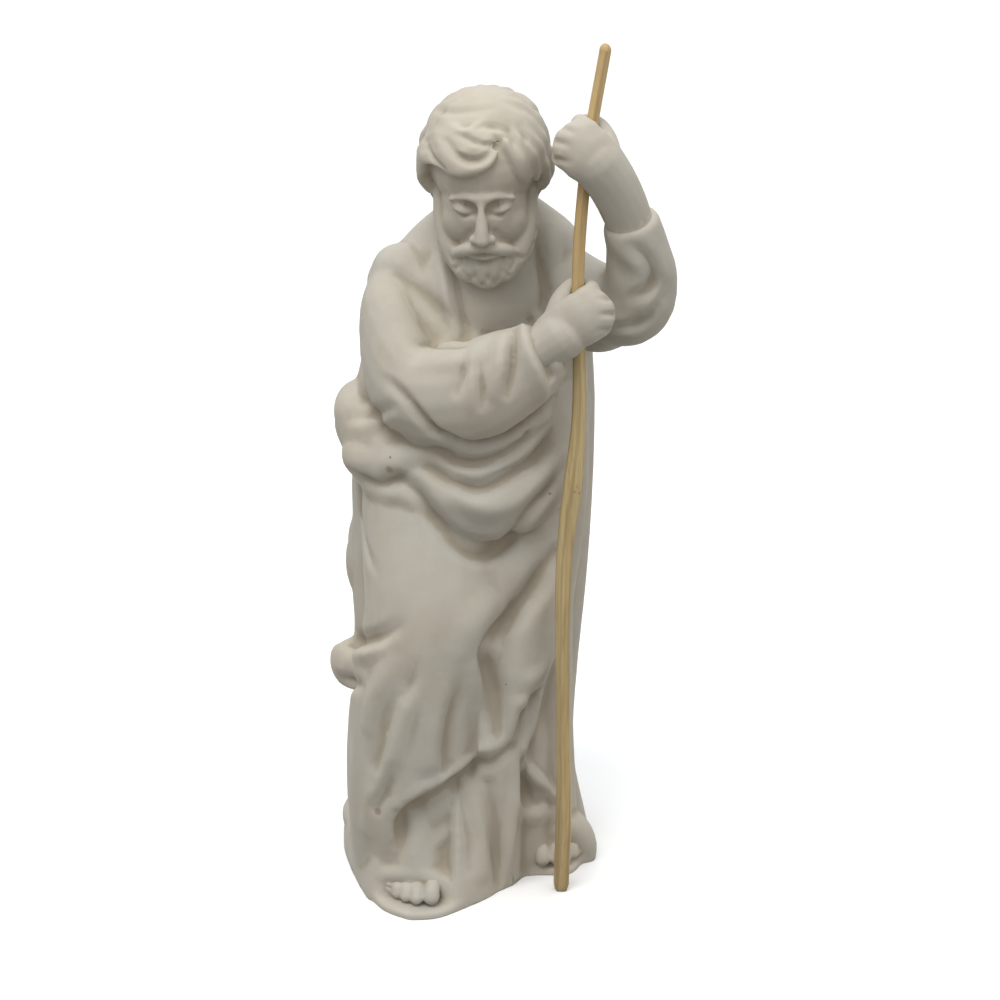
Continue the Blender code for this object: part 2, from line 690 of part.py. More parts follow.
# The robe's edge on the base, behind the toes of both feet, and how it draws in as it rises
ROBE_FOOT = [
    (-31, -36), (-26.5, -37.6), (-19, -37.4), (-12, -37), (-7, -38.4), (-3.4, -41.6), (5, -35.6),
    (11, -28.8),
    (16, -23.8), (18.6, -17), (24, -11.5), (32, -12), (36.8, -11.2), (38.4, 2), (35.4, 20.2), (24.2, 31.4),
    (6, 36.4), (-14, 35.9), (-31.2, 28.4), (-39.9, 14), (-40.4, -3), (-38, -15.2), (-34.4, -27),
]
ROBE_RISE = [(BELOW_GROUND, 1.0), (2, 1.0), (6, 0.98), (14, 0.935), (28, 0.86), (44, 0.74), (60, 0.56)]
ROBE_MIDDLE = np.array([-2, -2])


def robe_foot():
    """The lowest part of the robe, drawn in towards the middle as it rises."""
    ring = spline(ROBE_FOOT + [ROBE_FOOT[0]], 5)[:-1]
    rings = []
    for height, share in ROBE_RISE:
        drawn = ROBE_MIDDLE + (ring - ROBE_MIDDLE) * share
        rings.append(np.column_stack([drawn, np.full(len(drawn), height)]))
    return skin_rings(rings)


def tunic_clay():
    return [
        column([(BELOW_GROUND, -38, 36, -15, 34), (12, -37, 34.5, -14, 32), (45, -34, 31, -15, 28),
                (90, -32, 32, -18, 27), (130, -31, 32, -19, 26)]),
        limb([(-13, -16, 105), (-13, -17.5, 62), (-12, -18, 25),
              (-13, -18, BELOW_GROUND)], [17, 17, 17, 18]),
        limb([(2, -20, 100), (4.5, -22, 60), (6.5, -22.5, 25),
              (6.5, -21, BELOW_GROUND)], [10, 10, 9.4, 9.5]),
        limb([(20, -6, 100), (22.5, -7.5, 50), (24.5, -8, 12),
              (25.5, -8, BELOW_GROUND)], [12, 10.5, 10, 10.5]),
        limb([(17, -12, 66), (17.5, -14, 40), (17, -15, 14), (17, -14, BELOW_GROUND)], [7, 7.4, 7.6, 8]),
        slab(PLINTH_OUTLINE, BELOW_GROUND, PLINTH_HEIGHT),
        robe_foot(),
        limb([(-19, -20, 34), (-17.5, -24.6, 22), (-16, -27.8, 12), (-15, -29.4, 3)], [13, 12.5, 11.5, 10.5]),
        limb([(-28, -30.5, 3), (-25.8, -33.4, 7.6), (-19, -36, 10), (-12, -36.8, 9.2), (-7.2, -37.8, 6),
              (-4.8, -39.6, 0)], [3.4, 3.6, 3.6, 3.4, 3.2, 3.0]),
        limb([(16.8, -17, 2), (18.4, -15, 9), (24, -12.8, 13.2), (31.5, -12.2, 12.2), (35.6, -11.6, 6),
              (36.4, -11, 0)], [4.0, 5.0, 5.4, 5.2, 4.4, 3.6]),
    ]


def mantle_clay():
    return [
        column([(BELOW_GROUND, -39, 36, -14, 35), (30, -37, 32.4, -17, 31), (60, -35.8, 33.2, -19, 30),
                (90, -36.4, 35.3, -22, 30), (120, -35.8, 36.8, -24, 30), (145, -35, 37, -23, 29),
                (162, -31.5, 36, -20, 27), (176, -28, 34.5, -18, 24), (188, -24.5, 33, -14, 20),
                (198, -17, 31, -11, 15), (205, -9, 23, -8, 10), (211, 0, 15, -6, 5)]),
        limb([(-12, -4, 132), (-11, -16, 104), (-11, -21, 88), (-15, -21, 62), (-17.5, -20.5, 32),
              (-19, -14, BELOW_GROUND)], [21, 21, 20.5, 20.5, 20, 18]),
        ball((10, -14, 103), (16, 13.5, 20)),
        limb([(17, -10, 118), (19, -14, 100), (16.5, -18, 84), (12, -20.5, 68), (9, -21, 52)],
             [12, 11.5, 11.5, 11.5, 11]),
    ]


def torso_clay():
    return [
        ball((-17, 1, 182.5), (13, 13, 11.5)),
        ball((23, 3, 190), (9.5, 11, 11)),
        ball((3, -5, 180), (22, 15, 19)),
        ball((3, 8, 184), (25, 13, 20)),
        limb([(5, 2, 194), (4.5, -4, 202)], [12, 10.5]),
    ]


def sleeve_clay():
    return [
        limb([(-19, 0, 183), (-22.5, -12, 173), (-16, -23, 158), (0, -29.5, 159), (13, -33, 166.5),
              (21.4, -34, 172.6)],
             [12, 12.2, 14.3, 15, 12.4, 9.0], flat=0.76, end=0.2),
        limb([(-24, -13, 156), (-6, -26, 149), (12, -30.5, 154), (18.6, -31.6, 160)], [9, 9.2, 8.6, 6.6],
             flat=0.7),
        limb([(-20, -4, 187), (-14, -8, 181), (-7.5, -12.5, 173), (0, -15, 167)], [8.5, 8.5, 8.5, 8]),
        ball((-12, -14, 168), (11, 9, 8)),
        ball((-5, -19, 166.5), (10, 7, 6.5)),
        limb([(23, 2, 187), (35, -9, 180.5), (44.3, -17, 180.5), (47.2, -21, 188), (45.8, -24.6, 198.4),
              (43.4, -27.8, 206.6)],
             [9.5, 10.8, 11.6, 10.6, 8.8, 7.8], end=0.2),
        limb([(30, -4, 172), (38, -11, 173), (49, -19, 183)], [6, 7.6, 7]),
    ]


def sling_clay():
    return [
        limb([(-34, -4, 141), (-25, -18, 134), (-8, -25.5, 129), (10, -26.5, 127), (24, -21, 136),
              (31, -8, 148)],
             [9, 12, 13, 13, 11, 8], flat=0.56),
        limb([(-12, -20, 141), (4, -24, 140), (18, -22, 145),
              (25, -13, 152)], [10, 10, 9.5, 7], flat=0.8),
        ball((-27.5, -13, 143.5), (8.5, 8.5, 8.5)),
        ball((-32.5, -5, 146), (7.5, 12, 9)),
        ball((-31, -9, 143), (7.5, 9.8, 8.5)),
        ball((-28, -13, 135.5), (9.5, 11, 8.5)),
        ball((-34, 4, 97), (4.5, 9, 13)),
        limb([(-24, -20, 66), (-31, -11, 64.4), (-36.4, 0, 62.8)], [5, 7, 8.8], flat=0.8),
        ball((-37, 3, 8), (4.2, 8, 5)),
    ]


# The mantle's hem on the front drawing, from the ground at the left up to where it passes behind the
# staff; the corners at the right close the shape that is cut from the mantle
HEM = [
    (-24, 4), (-23, 19), (-22.4, 30), (-19.2, 34.7), (-11.3, 38.9), (-2.5, 44.7), (1.1, 49.2),
    (3.3, 50.7), (4.8, 48.6),
    (6.9, 48.9), (12.3, 53.9), (14.2, 61.5), (17.2, 66.5), (22.4, 70.6), (25.6, 79), (28, 92), (34, 110),
    (60, 110),
    (60, -30), (-24, -30),
]
HEM_CUT_FROM = 80
HEM_CUT_DEPTH = 84


def hem_cutter():
    """Prism along the lines of sight that takes the mantle away below its front hem."""
    near, far = [], []
    for across, up in HEM:
        start, direction = from_eye(across, up)
        stretch = 1 / direction.dot(SIGHT)
        near.append(start + direction * stretch * (EYE_DISTANCE - HEM_CUT_FROM))
        far.append(start + direction * stretch * (EYE_DISTANCE - HEM_CUT_FROM + HEM_CUT_DEPTH))
    count = len(near)
    faces = [tuple(range(count)), tuple(reversed(range(count, 2 * count)))]
    for i in range(count):
        j = (i + 1) % count
        faces.append((i, i + count, j + count, j))
    return face_out(mesh_object("hem cutter", near + far, faces))


# Drapery, as it reads from each side. Positive heights are ridges, negative ones are valleys

FOLD_RELIEF = 1.15
FOLD_SPREAD = 1.25
CRISP_RELIEF = 1.75

CHEST_FOLDS = [
    # from the shoulder to the breast, where the sleeve meets the mantle, and the roll beside it
    (4.2, 0.4, [(-23.5, 194, -0.4), (-20.6, 192, -0.9), (-15, 188, -1.3), (-10, 183, -1.4),
                (-6.6, 178.8, -1.3), (-2.8, 174, -1.0), (0.5, 172, -0.4)]),
    (5, 0, [(-15.5, 195, 0.1), (-11.5, 189.5, 0.4), (-7.4, 183.5, 0.4), (-5, 179, 0.1)]),
    # neckline of the tunic on both sides
    (3.4, 0.5, [(-9.6, 200, 0.6), (-7.2, 191, 1.4), (-6, 184, 1.4), (-3.4, 176, 0.8)]),
    (3.4, 0, [(-7, 200, -0.8), (-4.4, 190, -1.6), (-3, 182, -1.8), (-0.6, 174, -1.0)]),
    (3.2, 0, [(19.6, 203, -0.5), (21.2, 194, -1.2), (22.2, 187, -1.3), (21.6, 180, -0.7)]),
    (4.4, 0, [(23.6, 206, 0.6), (25, 197, 1.6), (25.8, 187, 1.2)]),
    # armpit
    (2.8, 0.3, [(-16.5, 171.6, -0.4), (-12.5, 171.8, -1.2), (-8.9, 171.3, -1.8), (-5.2, 171.2, -1.8),
                (-1.6, 171, -0.6)]),
    (5, 0, [(-12, 167, 0.6), (-5, 167, 1.0), (0, 168, 0.4)]),
    (7, 0, [(-26, 187, 0.2), (-20, 182.6, 0.5), (-14, 178, 0.2)]),
]

SLEEVE_FOLDS = [
    # hanging pleats
    (3.2, 0, [(-1.9, 169, -0.3), (-2.4, 162, -0.9), (-4.2, 157.6, -0.4)]),
    (5, 0.4, [(1.6, 170, 0.3), (1.2, 161, 0.7), (0, 153, 0.3)]),
    (3.0, 0.4, [(2.7, 168, -0.2), (3.0, 161.5, -0.8), (3.8, 156.6, -0.9), (3.4, 153, -0.3)]),
    (5, -0.4, [(9.2, 173, 0.5), (8.6, 165, 1.0), (7.4, 157, 0.5)]),
    (2.8, -0.5, [(13.0, 176, -0.8), (12.4, 169, -1.6), (11.8, 161.7, -1.6), (10.6, 156, -0.5)]),
    # creases inside the raised arm's elbow
    (3.4, 0, [(48.6, 201, -0.3), (53.0, 195.8, -1.1), (55.0, 191.3, -1.2), (53.0, 187.4, -0.9), (48.3, 185, -0.3)]),
    (5.0, 0, [(44.5, 199, 0.2), (49.5, 193.5, 0.8), (50.5, 190, 0.7)]),
    (3.6, 0, [(57.5, 184.5, -0.3), (53, 178.5, -0.9), (46.5, 176, -0.8), (40, 176.2, -0.3)]),
    # the sleeve draws in to its sunk cuff band, then the turned edge
    (4.5, 0.6, [(15.8, 176.6, 0.6), (17.8, 170, 1.2), (19.8, 164.8, 1.3), (21.6, 160, 1.0),
                (22.6, 156.6, 0.5)]),
    (2.8, 0.3, [(18.4, 178, -0.6), (20.6, 171.4, -1.3), (22.8, 166, -1.4), (24.4, 161.6, -1.0)]),
    (2.6, 0, [(20.4, 180, 0.5), (22.8, 174, 0.9), (25.2, 169, 0.9), (26.6, 165.6, 0.5)]),
    # shade under the sleeve's lower edge
    (4.2, 0.6, [(-24, 160.8, -0.4), (-19.4, 156.2, -0.9), (-12.8, 148, -1.6), (-9, 144.8, -2.2),
                (-0.6, 141.8, -2.4),
                (8.6, 143.2, -2.4), (13.7, 145.6, -2.4), (21.5, 151.2, -2.4), (25.4, 155, -1.4)]),
]

SLING_FOLDS = [
    (3.2, 0, [(-2.4, 139.3, 0.6), (3, 139.2, 1.0), (9, 140.8, 1.0), (13.7, 143.2, 0.6)]),
    (3.4, -0.4, [(-10, 140.7, -0.4), (-6, 137, -1.2), (0, 135.6, -1.7), (3.2, 135.8, -1.8),
                 (9.2, 138, -1.6), (13.7, 140.8, -1.4), (18.4, 145.4, -1.2), (22.9, 150, -0.8)]),
    (3.6, 0.3, [(-3.6, 132.9, 0.8), (3.2, 133.4, 1.6), (9.2, 135.6, 1.7), (15.3, 140, 1.8),
                (19.9, 145, 1.6),
                (23.8, 150.4, 0.8)]),
    (5, 0, [(26, 148, -1.0), (23.6, 141.6, -2.0), (20.3, 136.4, -1.2)]),
    (3.8, -0.5, [(-17.5, 134.6, -0.6), (-13.1, 134.7, -1.8), (-8.3, 131.7, -2.6), (-3.7, 129.3, -2.6),
                 (0.9, 127.4, -2.4), (4.4, 127.8, -1.9), (7.7, 129.4, -1.6), (12.2, 132.4, -1.3),
                 (18.4, 136, -1.1), (21.5, 139.6, -0.8)]),
    (5, 0, [(-8, 127.6, 0.6), (-3, 125.4, 1.2), (2, 123.4, 1.7), (6.2, 122.8, 1.8), (12.2, 124.4, 1.6),
            (18.4, 128.6, 1.5),
            (24.4, 132.6, 1.0)]),
    # the swag's lower edge over the skirt
    (4.8, -0.4, [(-24.7, 130.4, -1.0), (-20.6, 129.4, -1.8), (-15.8, 126.4, -1.9), (-12.8, 122.4, -1.9),
                 (-9.8, 118.5, -1.9),
                 (-6.9, 114.7, -1.9), (-3.4, 110.8, -2.0), (0.4, 108.6, -2.2), (4.4, 107.9, -2.2),
                 (7.6, 109, -2.2),
                 (10.6, 111.4, -2.1), (13.6, 114.8, -2.0), (17, 120, -2.0), (20.4, 124.4, -2.2),
                 (23.2, 127.6, -2.2),
                 (25.6, 131, -1.8), (27.6, 134, -1.0)]),
    (5, 0, [(-12.5, 127.4, 0.6), (-8.5, 122.4, 1.0), (-4.8, 117, 0.8)]),
    # bundle at the hip
    (3.2, -0.3, [(-36, 149.2, -0.3), (-33.5, 149.6, -0.8), (-29.5, 150.2, -1.2), (-25.3, 151.4, -1.0),
                 (-22.6, 152.6, -0.3)]),
    (5, 0, [(-19.5, 146.5, -0.3), (-22.4, 143, -0.6), (-25.4, 139.4, -0.4)]),
    (3.8, 0.6, [(-36.5, 134, -0.8), (-34.7, 133, -1.2), (-31.1, 131.1, -1.6), (-27.4, 129.6, -1.8),
                (-25, 129.8, -1.8), (-22.1, 131.6, -1.3), (-18.6, 133.3, -0.5)]),
    (5, 0, [(-28, 136.4, 0.4), (-22, 137.6, 0.9), (-16.5, 137.4, 0.8)]),
]

SKIRT_FOLDS = [
    # the sweep from the staff down to the knee, and on to the hem
    (5.4, -0.4, [(25.3, 109.4, -1.6), (21.5, 104, -2.4), (18.4, 99.3, -2.8), (15.3, 94.8, -2.6),
                 (11, 89.6, -2.3), (7.2, 85.9, -2.0), (4.7, 82.5, -1.9), (3.9, 77.8, -1.8),
                 (5.7, 71.5, -1.6), (6.4, 65.3, -1.5), (6.8, 57, -0.8)]),
    (7, 0, [(21, 113, 0.4), (15, 104, 1.2), (9, 96, 1.4), (2, 88, 1.4), (-0.5, 81, 0.8)]),
    (6, 0, [(24, 100, 0.6), (18, 91, 1.4), (14, 83, 1.4), (12.6, 74, 0.8)]),
        (4.6, 0, [(1.1, 74.3, 0.8), (2.4, 65.3, 1.5), (3.8, 57.6, 2.0), (4.4, 52.6, 2.4)]),
    (4.4, -0.3, [(-3.6, 70, -0.4), (-5.5, 62, -1.4), (-6.7, 56, -1.8), (-7.3, 49.9, -2.0),
                 (-7, 44.6, -1.4)]),
    (5, 0, [(-9, 66, 0.3), (-10.6, 56, 1.0), (-11.4, 47, 1.0)]),
    (4.6, 0.4, [(-20.4, 72, -0.3), (-22.2, 65, -1.1), (-23.7, 60.5, -1.4), (-25.3, 55.4, -1.5),
                (-26.2, 51.4, -1.5),
                (-27.7, 46.8, -1.3), (-28.9, 41, -0.6)]),
    (6.5, 0.6, [(-16.6, 70, 0.3), (-19, 62.5, 1.0), (-21.2, 55, 1.2), (-23.4, 47, 1.1), (-25, 40, 0.5)]),
    (4, 0, [(-24.3, 77.2, 0.5), (-26.5, 71.2, 1.3), (-29.3, 64.5, 1.4), (-30.6, 58, 0.8)]),
    (3, 0, [(-16.1, 76, -0.4), (-17.6, 70.6, -1.2), (-19.4, 66.3, -0.7)]),
    (4, -0.3, [(-36, 82.6, -1.2), (-32.6, 82.7, -2.2), (-28.3, 83.3, -2.4), (-24.7, 84.9, -1.7),
               (-21.6, 87, -0.6)]),
    (3.6, 0, [(-36, 77.6, 0.8), (-32.6, 78.9, 1.4), (-29.5, 80.2, 1.4), (-26.6, 82, 1.0),
              (-23.6, 84.4, 0.5)]),
    (3.4, 0, [(-38.5, 71.5, -1.2), (-35.6, 70.6, -2.4), (-32.6, 70, -0.8)]),
    (3.4, 0, [(-22.9, 45, -0.5), (-24.7, 38.7, -1.5), (-28, 33, -0.8)]),
    (4, 0, [(-28.4, 42.3, 0.6), (-29.8, 35.8, 0.9), (-31, 26.8, 0.6)]),
    (3.2, -0.3, [(-32.6, 129.6, -0.5), (-32.8, 124.4, -1.0), (-32.4, 116.5, -1.1), (-30.8, 109.4, -1.0),
                 (-28.4, 104, -0.3)]),
    # the hem's turned lip and the corner beside it
    (3, -0.5, [(-21, 33.6, 0.5), (-15, 38, 0.7), (-8, 41.6, 0.7), (-2, 46.4, 0.9), (2.6, 51.6, 1.4)]),
    (3, 0, [(5.4, 50.8, 0.8), (9.4, 53, 0.9), (12.2, 58, 0.9), (13.6, 63.6, 0.8)]),
    (4, 0, [(14.8, 68, 0.3), (18.2, 71.2, 0.9), (21.4, 73.6, 0.9), (24.6, 79, 0.4)]),
    ]

TUNIC_FOLDS = [
    # hollow behind the hem's drop at the left, and the shade under the hem
    (4.2, -0.4, [(-20.4, 32.6, -0.8), (-20.2, 28, -1.6), (-20.6, 24, -1.4), (-22, 19, -0.5)]),
    (4, 0.6, [(-17, 33.6, -0.7), (-10, 37.4, -1.0), (-3.4, 42.2, -1.2), (1.6, 46.6, -1.2),
              (6.6, 47, -1.0), (12, 51.6, -0.7)]),
    (4.4, 0, [(-4.4, 41, -1.0), (-3.1, 37.2, -1.5), (-1.2, 29.5, -1.3), (0, 23, -1.0), (-0.6, 16, -0.5)]),
    (5, 0, [(2.2, 38, 0.8), (3.6, 27, 1.3), (4.2, 15, 0.9)]),
    (3.8, 0, [(5.2, 40, -1.0), (6.9, 29.5, -1.4), (7.7, 20, -1.3), (8.2, 11, -0.6)]),
    (3.4, 0.5, [(13.6, 48, 1.0), (13.4, 37, 1.6), (12.6, 28, 1.5), (11.6, 18.5, 1.2), (10.2, 11, 0.6)]),
    (4, 0, [(15.4, 42, -1.0), (16.7, 37.2, -1.8), (19.4, 34.6, -1.2)]),
    (2.8, 0, [(16, 65, 0.8), (15.7, 56, 1.2), (15.4, 48.6, 1.5), (17.9, 43.9, 2.0), (21.5, 40.2, 2.0),
              (25, 37.4, 1.4)]),
        (3.6, 0, [(13.8, 34.6, 0.3), (16.5, 31.2, 0.8), (21.5, 31.4, 0.8), (25, 32, 0.4)]),
    ]

# The raised left arm: its cuff and the creases of its sleeve
RAISED_ARM_FOLDS = [
    (6, 0.3, [(42.3, 197, -0.4), (46.5, 193.6, -0.9), (51, 190.9, -1.1), (59, 187.4, -0.6)]),
    (7, 0, [(43.2, 201.6, 0.3), (48, 198.4, 0.6), (53, 195.6, 0.7), (60.2, 192.7, 0.3)]),
    (6, 0, [(40.2, 184.8, -0.4), (47.7, 179.4, -0.7), (55, 177.6, -0.4)]),
]

# The right flank, level from azimuth -90: across runs from the back, minus, to the front, plus
RIGHT_FLANK_FOLDS = [
    (6, 0.3, [(2, 124, -0.8), (-5, 96, -2.2), (-3, 70, -1.6)]),
    (7, 0.3, [(-12, 138, -0.6), (-16, 100, -2.6), (-14, 55, -2.4), (-19, 8, -2.0)]),
    (7, -0.3, [(-22, 150, -0.4), (-25, 100, -2.0), (-23, 50, -2.4), (-26, 8, -2.0)]),
    (6, 0, [(-8, 118, 0.3), (-10, 84, 0.8), (-9, 46, 0.6), (-12, 12, 0.4)]),
    (5, 0, [(12, 55, -0.8), (2, 51, -2.2), (-8, 54, -0.8)]),
    (6, 0.3, [(15, 54, -0.8), (11, 38, -2.2), (13, 22, -1.6), (12, 10, -0.8)]),
    (6, 0, [(4, 46, -0.8), (0, 30, -2.0), (2, 12, -1.4)]),
    (6, 0, [(22, 74, 0.2), (19, 50, 0.7), (20, 28, 0.4)]),
    (6, 0, [(-8, 176, -0.6), (-12, 164, -1.8), (-8, 152, -1.0)]),
]

# The left flank, level from azimuth 90: across runs from the front, minus, to the back, plus
LEFT_FLANK_FOLDS = [
    (7, 0.3, [(-3, 166, -0.8), (-1, 120, -2.2), (-6, 60, -2.2), (-4, 8, -1.6)]),
    (7, -0.3, [(8, 172, -0.8), (11, 120, -2.6), (8, 60, -2.4), (11, 8, -2.0)]),
    (7, 0.3, [(18, 165, -0.6), (20, 110, -2.2), (18, 60, -2.2), (22, 8, -1.8)]),
    (6, 0, [(3, 164, 0.2), (5, 100, 0.6), (2, 30, 0.5)]),
    (6, 0, [(14, 160, 0.2), (15, 100, 0.6), (14, 30, 0.5)]),
    (5, 0, [(-13, 140, -0.6), (-12, 110, -1.8), (-15, 76, -1.0)]),
]


def back_folds():
    """Long gentle folds of the mantle behind, that gather to the left shoulder."""
    strokes = []
    for k, foot in enumerate((-30, -20, -9, 3, 14, 25, 33)):
        top = foot * 0.55 - 9 + 1.5 * (-1) ** k
        high = 176 - 9 * (k % 3)
        depth = -1.6 - 0.9 * (k % 2)
        strokes.append((7.5, 0.3 * (-1) ** k, [(top, high, -0.3),
                                               ((top + foot) / 2 - 2, high / 2 + 20, depth),
                                                (foot * 0.96, 46, depth * 1.25), (foot, 8, depth)]))
    strokes.append((8, 0, [(-30, 190, -0.4), (-12, 178, -1.8), (8, 158, -1.8), (24, 128, -0.6)]))
    strokes.append((8, 0, [(-26, 198, -0.4), (-6, 190, -1.4), (14, 174, -1.2)]))
    strokes.append((7, 0, [(-16, 203, -0.3), (-3, 197, -1.2), (10, 196, -0.3)]))
    return strokes


def make_body():
    mantle = fuse(gather("mantle", mantle_clay()), BODY_GRAIN)
    relax(mantle, CLOTH_SOFTNESS, BODY_GRAIN)
    combine(mantle, hem_cutter(), "DIFFERENCE")
    rest = tunic_clay() + torso_clay() + sleeve_clay() + sling_clay()
    body = gather("body", rest)
    add_mesh(body, mantle)
    fuse(body, BODY_GRAIN)
    relax(body, BODY_SOFTNESS, BODY_GRAIN)
    carve(body, CHEST_FOLDS)
    carve(body, SLEEVE_FOLDS, relief=CRISP_RELIEF)
    for folds in (SLING_FOLDS, SKIRT_FOLDS, TUNIC_FOLDS, RAISED_ARM_FOLDS):
        carve(body, folds, relief=FOLD_RELIEF, spread=FOLD_SPREAD)
    carve(body, RIGHT_FLANK_FOLDS, from_side(-90), FOLD_RELIEF, FOLD_SPREAD)
    carve(body, LEFT_FLANK_FOLDS, from_side(90), FOLD_RELIEF, FOLD_SPREAD)
    carve(body, back_folds(), from_side(180), FOLD_RELIEF, FOLD_SPREAD)
    relax(body, FOLD_SOFTNESS, BODY_GRAIN)
    thin_out(body, BODY_TRIANGLES)
    return body


def ground_cutter():
    cutter = mesh_object("ground", [(x, y, z) for z in (-40, 0) for y in (-90, 90) for x in (-90, 90)],
                         [(0, 2, 3, 1), (4, 5, 7, 6), (0, 1, 5, 4), (2, 6, 7, 3), (0, 4, 6, 2), (1, 3, 7, 5)])
    return cutter


def channel_cutter():
    """The staff and the clearance round it, longer than the staff at both ends."""
    rings = staff_rings(GRIP_CLEARANCE / UNIT, -8, STAFF_LENGTH / UNIT + 8)
    points, faces = skin_rings(rings)
    return mesh_object("channel", points, faces)


def make_figure():
    figure = make_body()
    figure.name = "figure"
    combine(figure, make_head(), "UNION")
    for hand in HANDS:
        combine(figure, make_hand(*hand), "UNION")
    for foot in FEET:
        combine(figure, make_foot(*foot), "UNION")
    combine(figure, channel_cutter(), "DIFFERENCE")
    combine(figure, ground_cutter(), "DIFFERENCE")
    return figure


def paint(thing, name, colour, roughness):
    material = bpy.data.materials.new(name)
    material.use_nodes = True
    shader = material.node_tree.nodes["Principled BSDF"]
    shader.inputs["Base Color"].default_value = (*colour, 1)
    shader.inputs["Roughness"].default_value = roughness
    shader.inputs["Metallic"].default_value = 0
    thing.data.materials.clear()
    thing.data.materials.append(material)


def main():
    clear_scene()
    figure = make_figure()
    staff = make_staff()
    for piece in (figure, staff):
        piece.data.transform(Matrix.Scale(UNIT, 4))
    paint(figure, "porcelain", (0.55, 0.51, 0.44), 0.75)
    paint(staff, "wood", (0.45, 0.31, 0.17), 0.6)


main()
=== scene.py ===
"""Looks of the statuette: a bisque porcelain figure that holds a loose whittled staff.

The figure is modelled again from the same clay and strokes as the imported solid, at a finer grain and
with the strands, curls and creases that the solid leaves out. Lengths are in sculptor's units, close
to a millimetre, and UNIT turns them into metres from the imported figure's own height.
"""
import json
import math

import bmesh
import bpy
import numpy as np
from mathutils import Euler, Matrix, Vector
from mathutils.bvhtree import BVHTree

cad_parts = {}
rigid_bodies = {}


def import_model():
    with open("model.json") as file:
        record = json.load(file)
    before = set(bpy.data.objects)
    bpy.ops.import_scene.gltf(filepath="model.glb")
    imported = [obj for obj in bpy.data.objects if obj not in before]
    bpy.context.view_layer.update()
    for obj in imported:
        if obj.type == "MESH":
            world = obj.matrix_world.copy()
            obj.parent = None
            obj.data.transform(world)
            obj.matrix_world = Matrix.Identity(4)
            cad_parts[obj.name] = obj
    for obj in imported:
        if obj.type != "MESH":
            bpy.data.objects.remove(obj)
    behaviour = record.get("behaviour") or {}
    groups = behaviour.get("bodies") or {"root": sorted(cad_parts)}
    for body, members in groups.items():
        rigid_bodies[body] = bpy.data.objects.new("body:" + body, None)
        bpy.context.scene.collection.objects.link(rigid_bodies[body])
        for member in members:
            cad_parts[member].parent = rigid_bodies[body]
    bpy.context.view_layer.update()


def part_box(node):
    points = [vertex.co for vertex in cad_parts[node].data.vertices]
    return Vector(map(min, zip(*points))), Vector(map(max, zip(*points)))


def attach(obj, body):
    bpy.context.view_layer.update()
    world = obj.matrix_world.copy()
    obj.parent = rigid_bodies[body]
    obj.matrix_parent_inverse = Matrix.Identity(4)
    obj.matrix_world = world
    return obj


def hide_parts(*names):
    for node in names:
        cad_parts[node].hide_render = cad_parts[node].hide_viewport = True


for thing in list(bpy.data.objects):
    bpy.data.objects.remove(thing, do_unlink=True)
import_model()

FIGURE_UNITS = 241.0
UNIT = (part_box("figure")[1].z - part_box("figure")[0].z) / FIGURE_UNITS
STAFF_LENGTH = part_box("staff")[1].z
STAFF_THICKNESS = 0.0046
GRIP_CLEARANCE = 0.0003

# The drawing that the front is carved from: an eye looks down on the figure from the front, and the
# camera stands in its place. Across and up are measured in units on a plane through the figure's middle.
EYE_DISTANCE = 560.0
EYE_ELEVATION = math.radians(20)
DRAWING_CENTRE = Vector((0, -5, 118))
DRAWING_CENTRE_UP = 125.0
SIGHT = Vector((0, math.cos(EYE_ELEVATION), -math.sin(EYE_ELEVATION)))
SIGHT_UP = Vector((0, math.sin(EYE_ELEVATION), math.cos(EYE_ELEVATION)))
EYE = DRAWING_CENTRE - SIGHT * EYE_DISTANCE

# How finely the clay is meshed, in units
BODY_GRAIN = 0.8
HEAD_GRAIN = 0.42
HAND_GRAIN = 0.4
BODY_TRIANGLES = 96000
HEAD_TRIANGLES = 48000
HAND_TRIANGLES = 9000
FOOT_TRIANGLES = 7000

# How far each skin is smoothed, in units
CLOTH_SOFTNESS = 4.0
BODY_SOFTNESS = 1.6
FOLD_SOFTNESS = 1.3
HAIR_SOFTNESS = 1.7
FACE_SOFTNESS = 1.1
HAND_SOFTNESS = 1.5
FOOT_SOFTNESS = 1.0


# Clay: closed shapes as (points, faces), collected in a list and fused into one skin


def spline(values, steps):
    """Catmull-Rom curve through the rows of values, with steps samples between each two."""
    rows = np.asarray(values, float)
    if rows.ndim == 1:
        rows = rows[:, None]
    ends = np.vstack([2 * rows[0] - rows[1], rows, 2 * rows[-1] - rows[-2]])
    out = []
    for i in range(len(rows) - 1):
        a, b, c, d = ends[i:i + 4]
        for t in np.arange(steps) / steps:
            out.append(0.5 * (2 * b + (c - a) * t + (2 * a - 5 * b + 4 * c - d) * t * t
                              + (3 * b - a - 3 * c + d) * t ** 3))
    out.append(rows[-1])
    return np.array(out)


def skin_rings(rings):
    """Closed shape from rings of equal length, its two ends closed to a point."""
    count, sides = len(rings), len(rings[0])
    points = np.vstack([*rings, rings[0].mean(0), rings[-1].mean(0)])
    low, high = count * sides, count * sides + 1
    faces = []
    for j in range(sides):
        k = (j + 1) % sides
        faces.append((low, k, j))
        faces.append((high, (count - 1) * sides + j, (count - 1) * sides + k))
        for i in range(count - 1):
            faces.append((i * sides + j, i * sides + k, (i + 1) * sides + k, (i + 1) * sides + j))
    return points, faces


# A round limb that climbs more than this keeps its rings from turning by taking the front as its up
UPRIGHT = 0.8
CAP_ANGLES = (78, 52, 26)
TINY = 1e-6


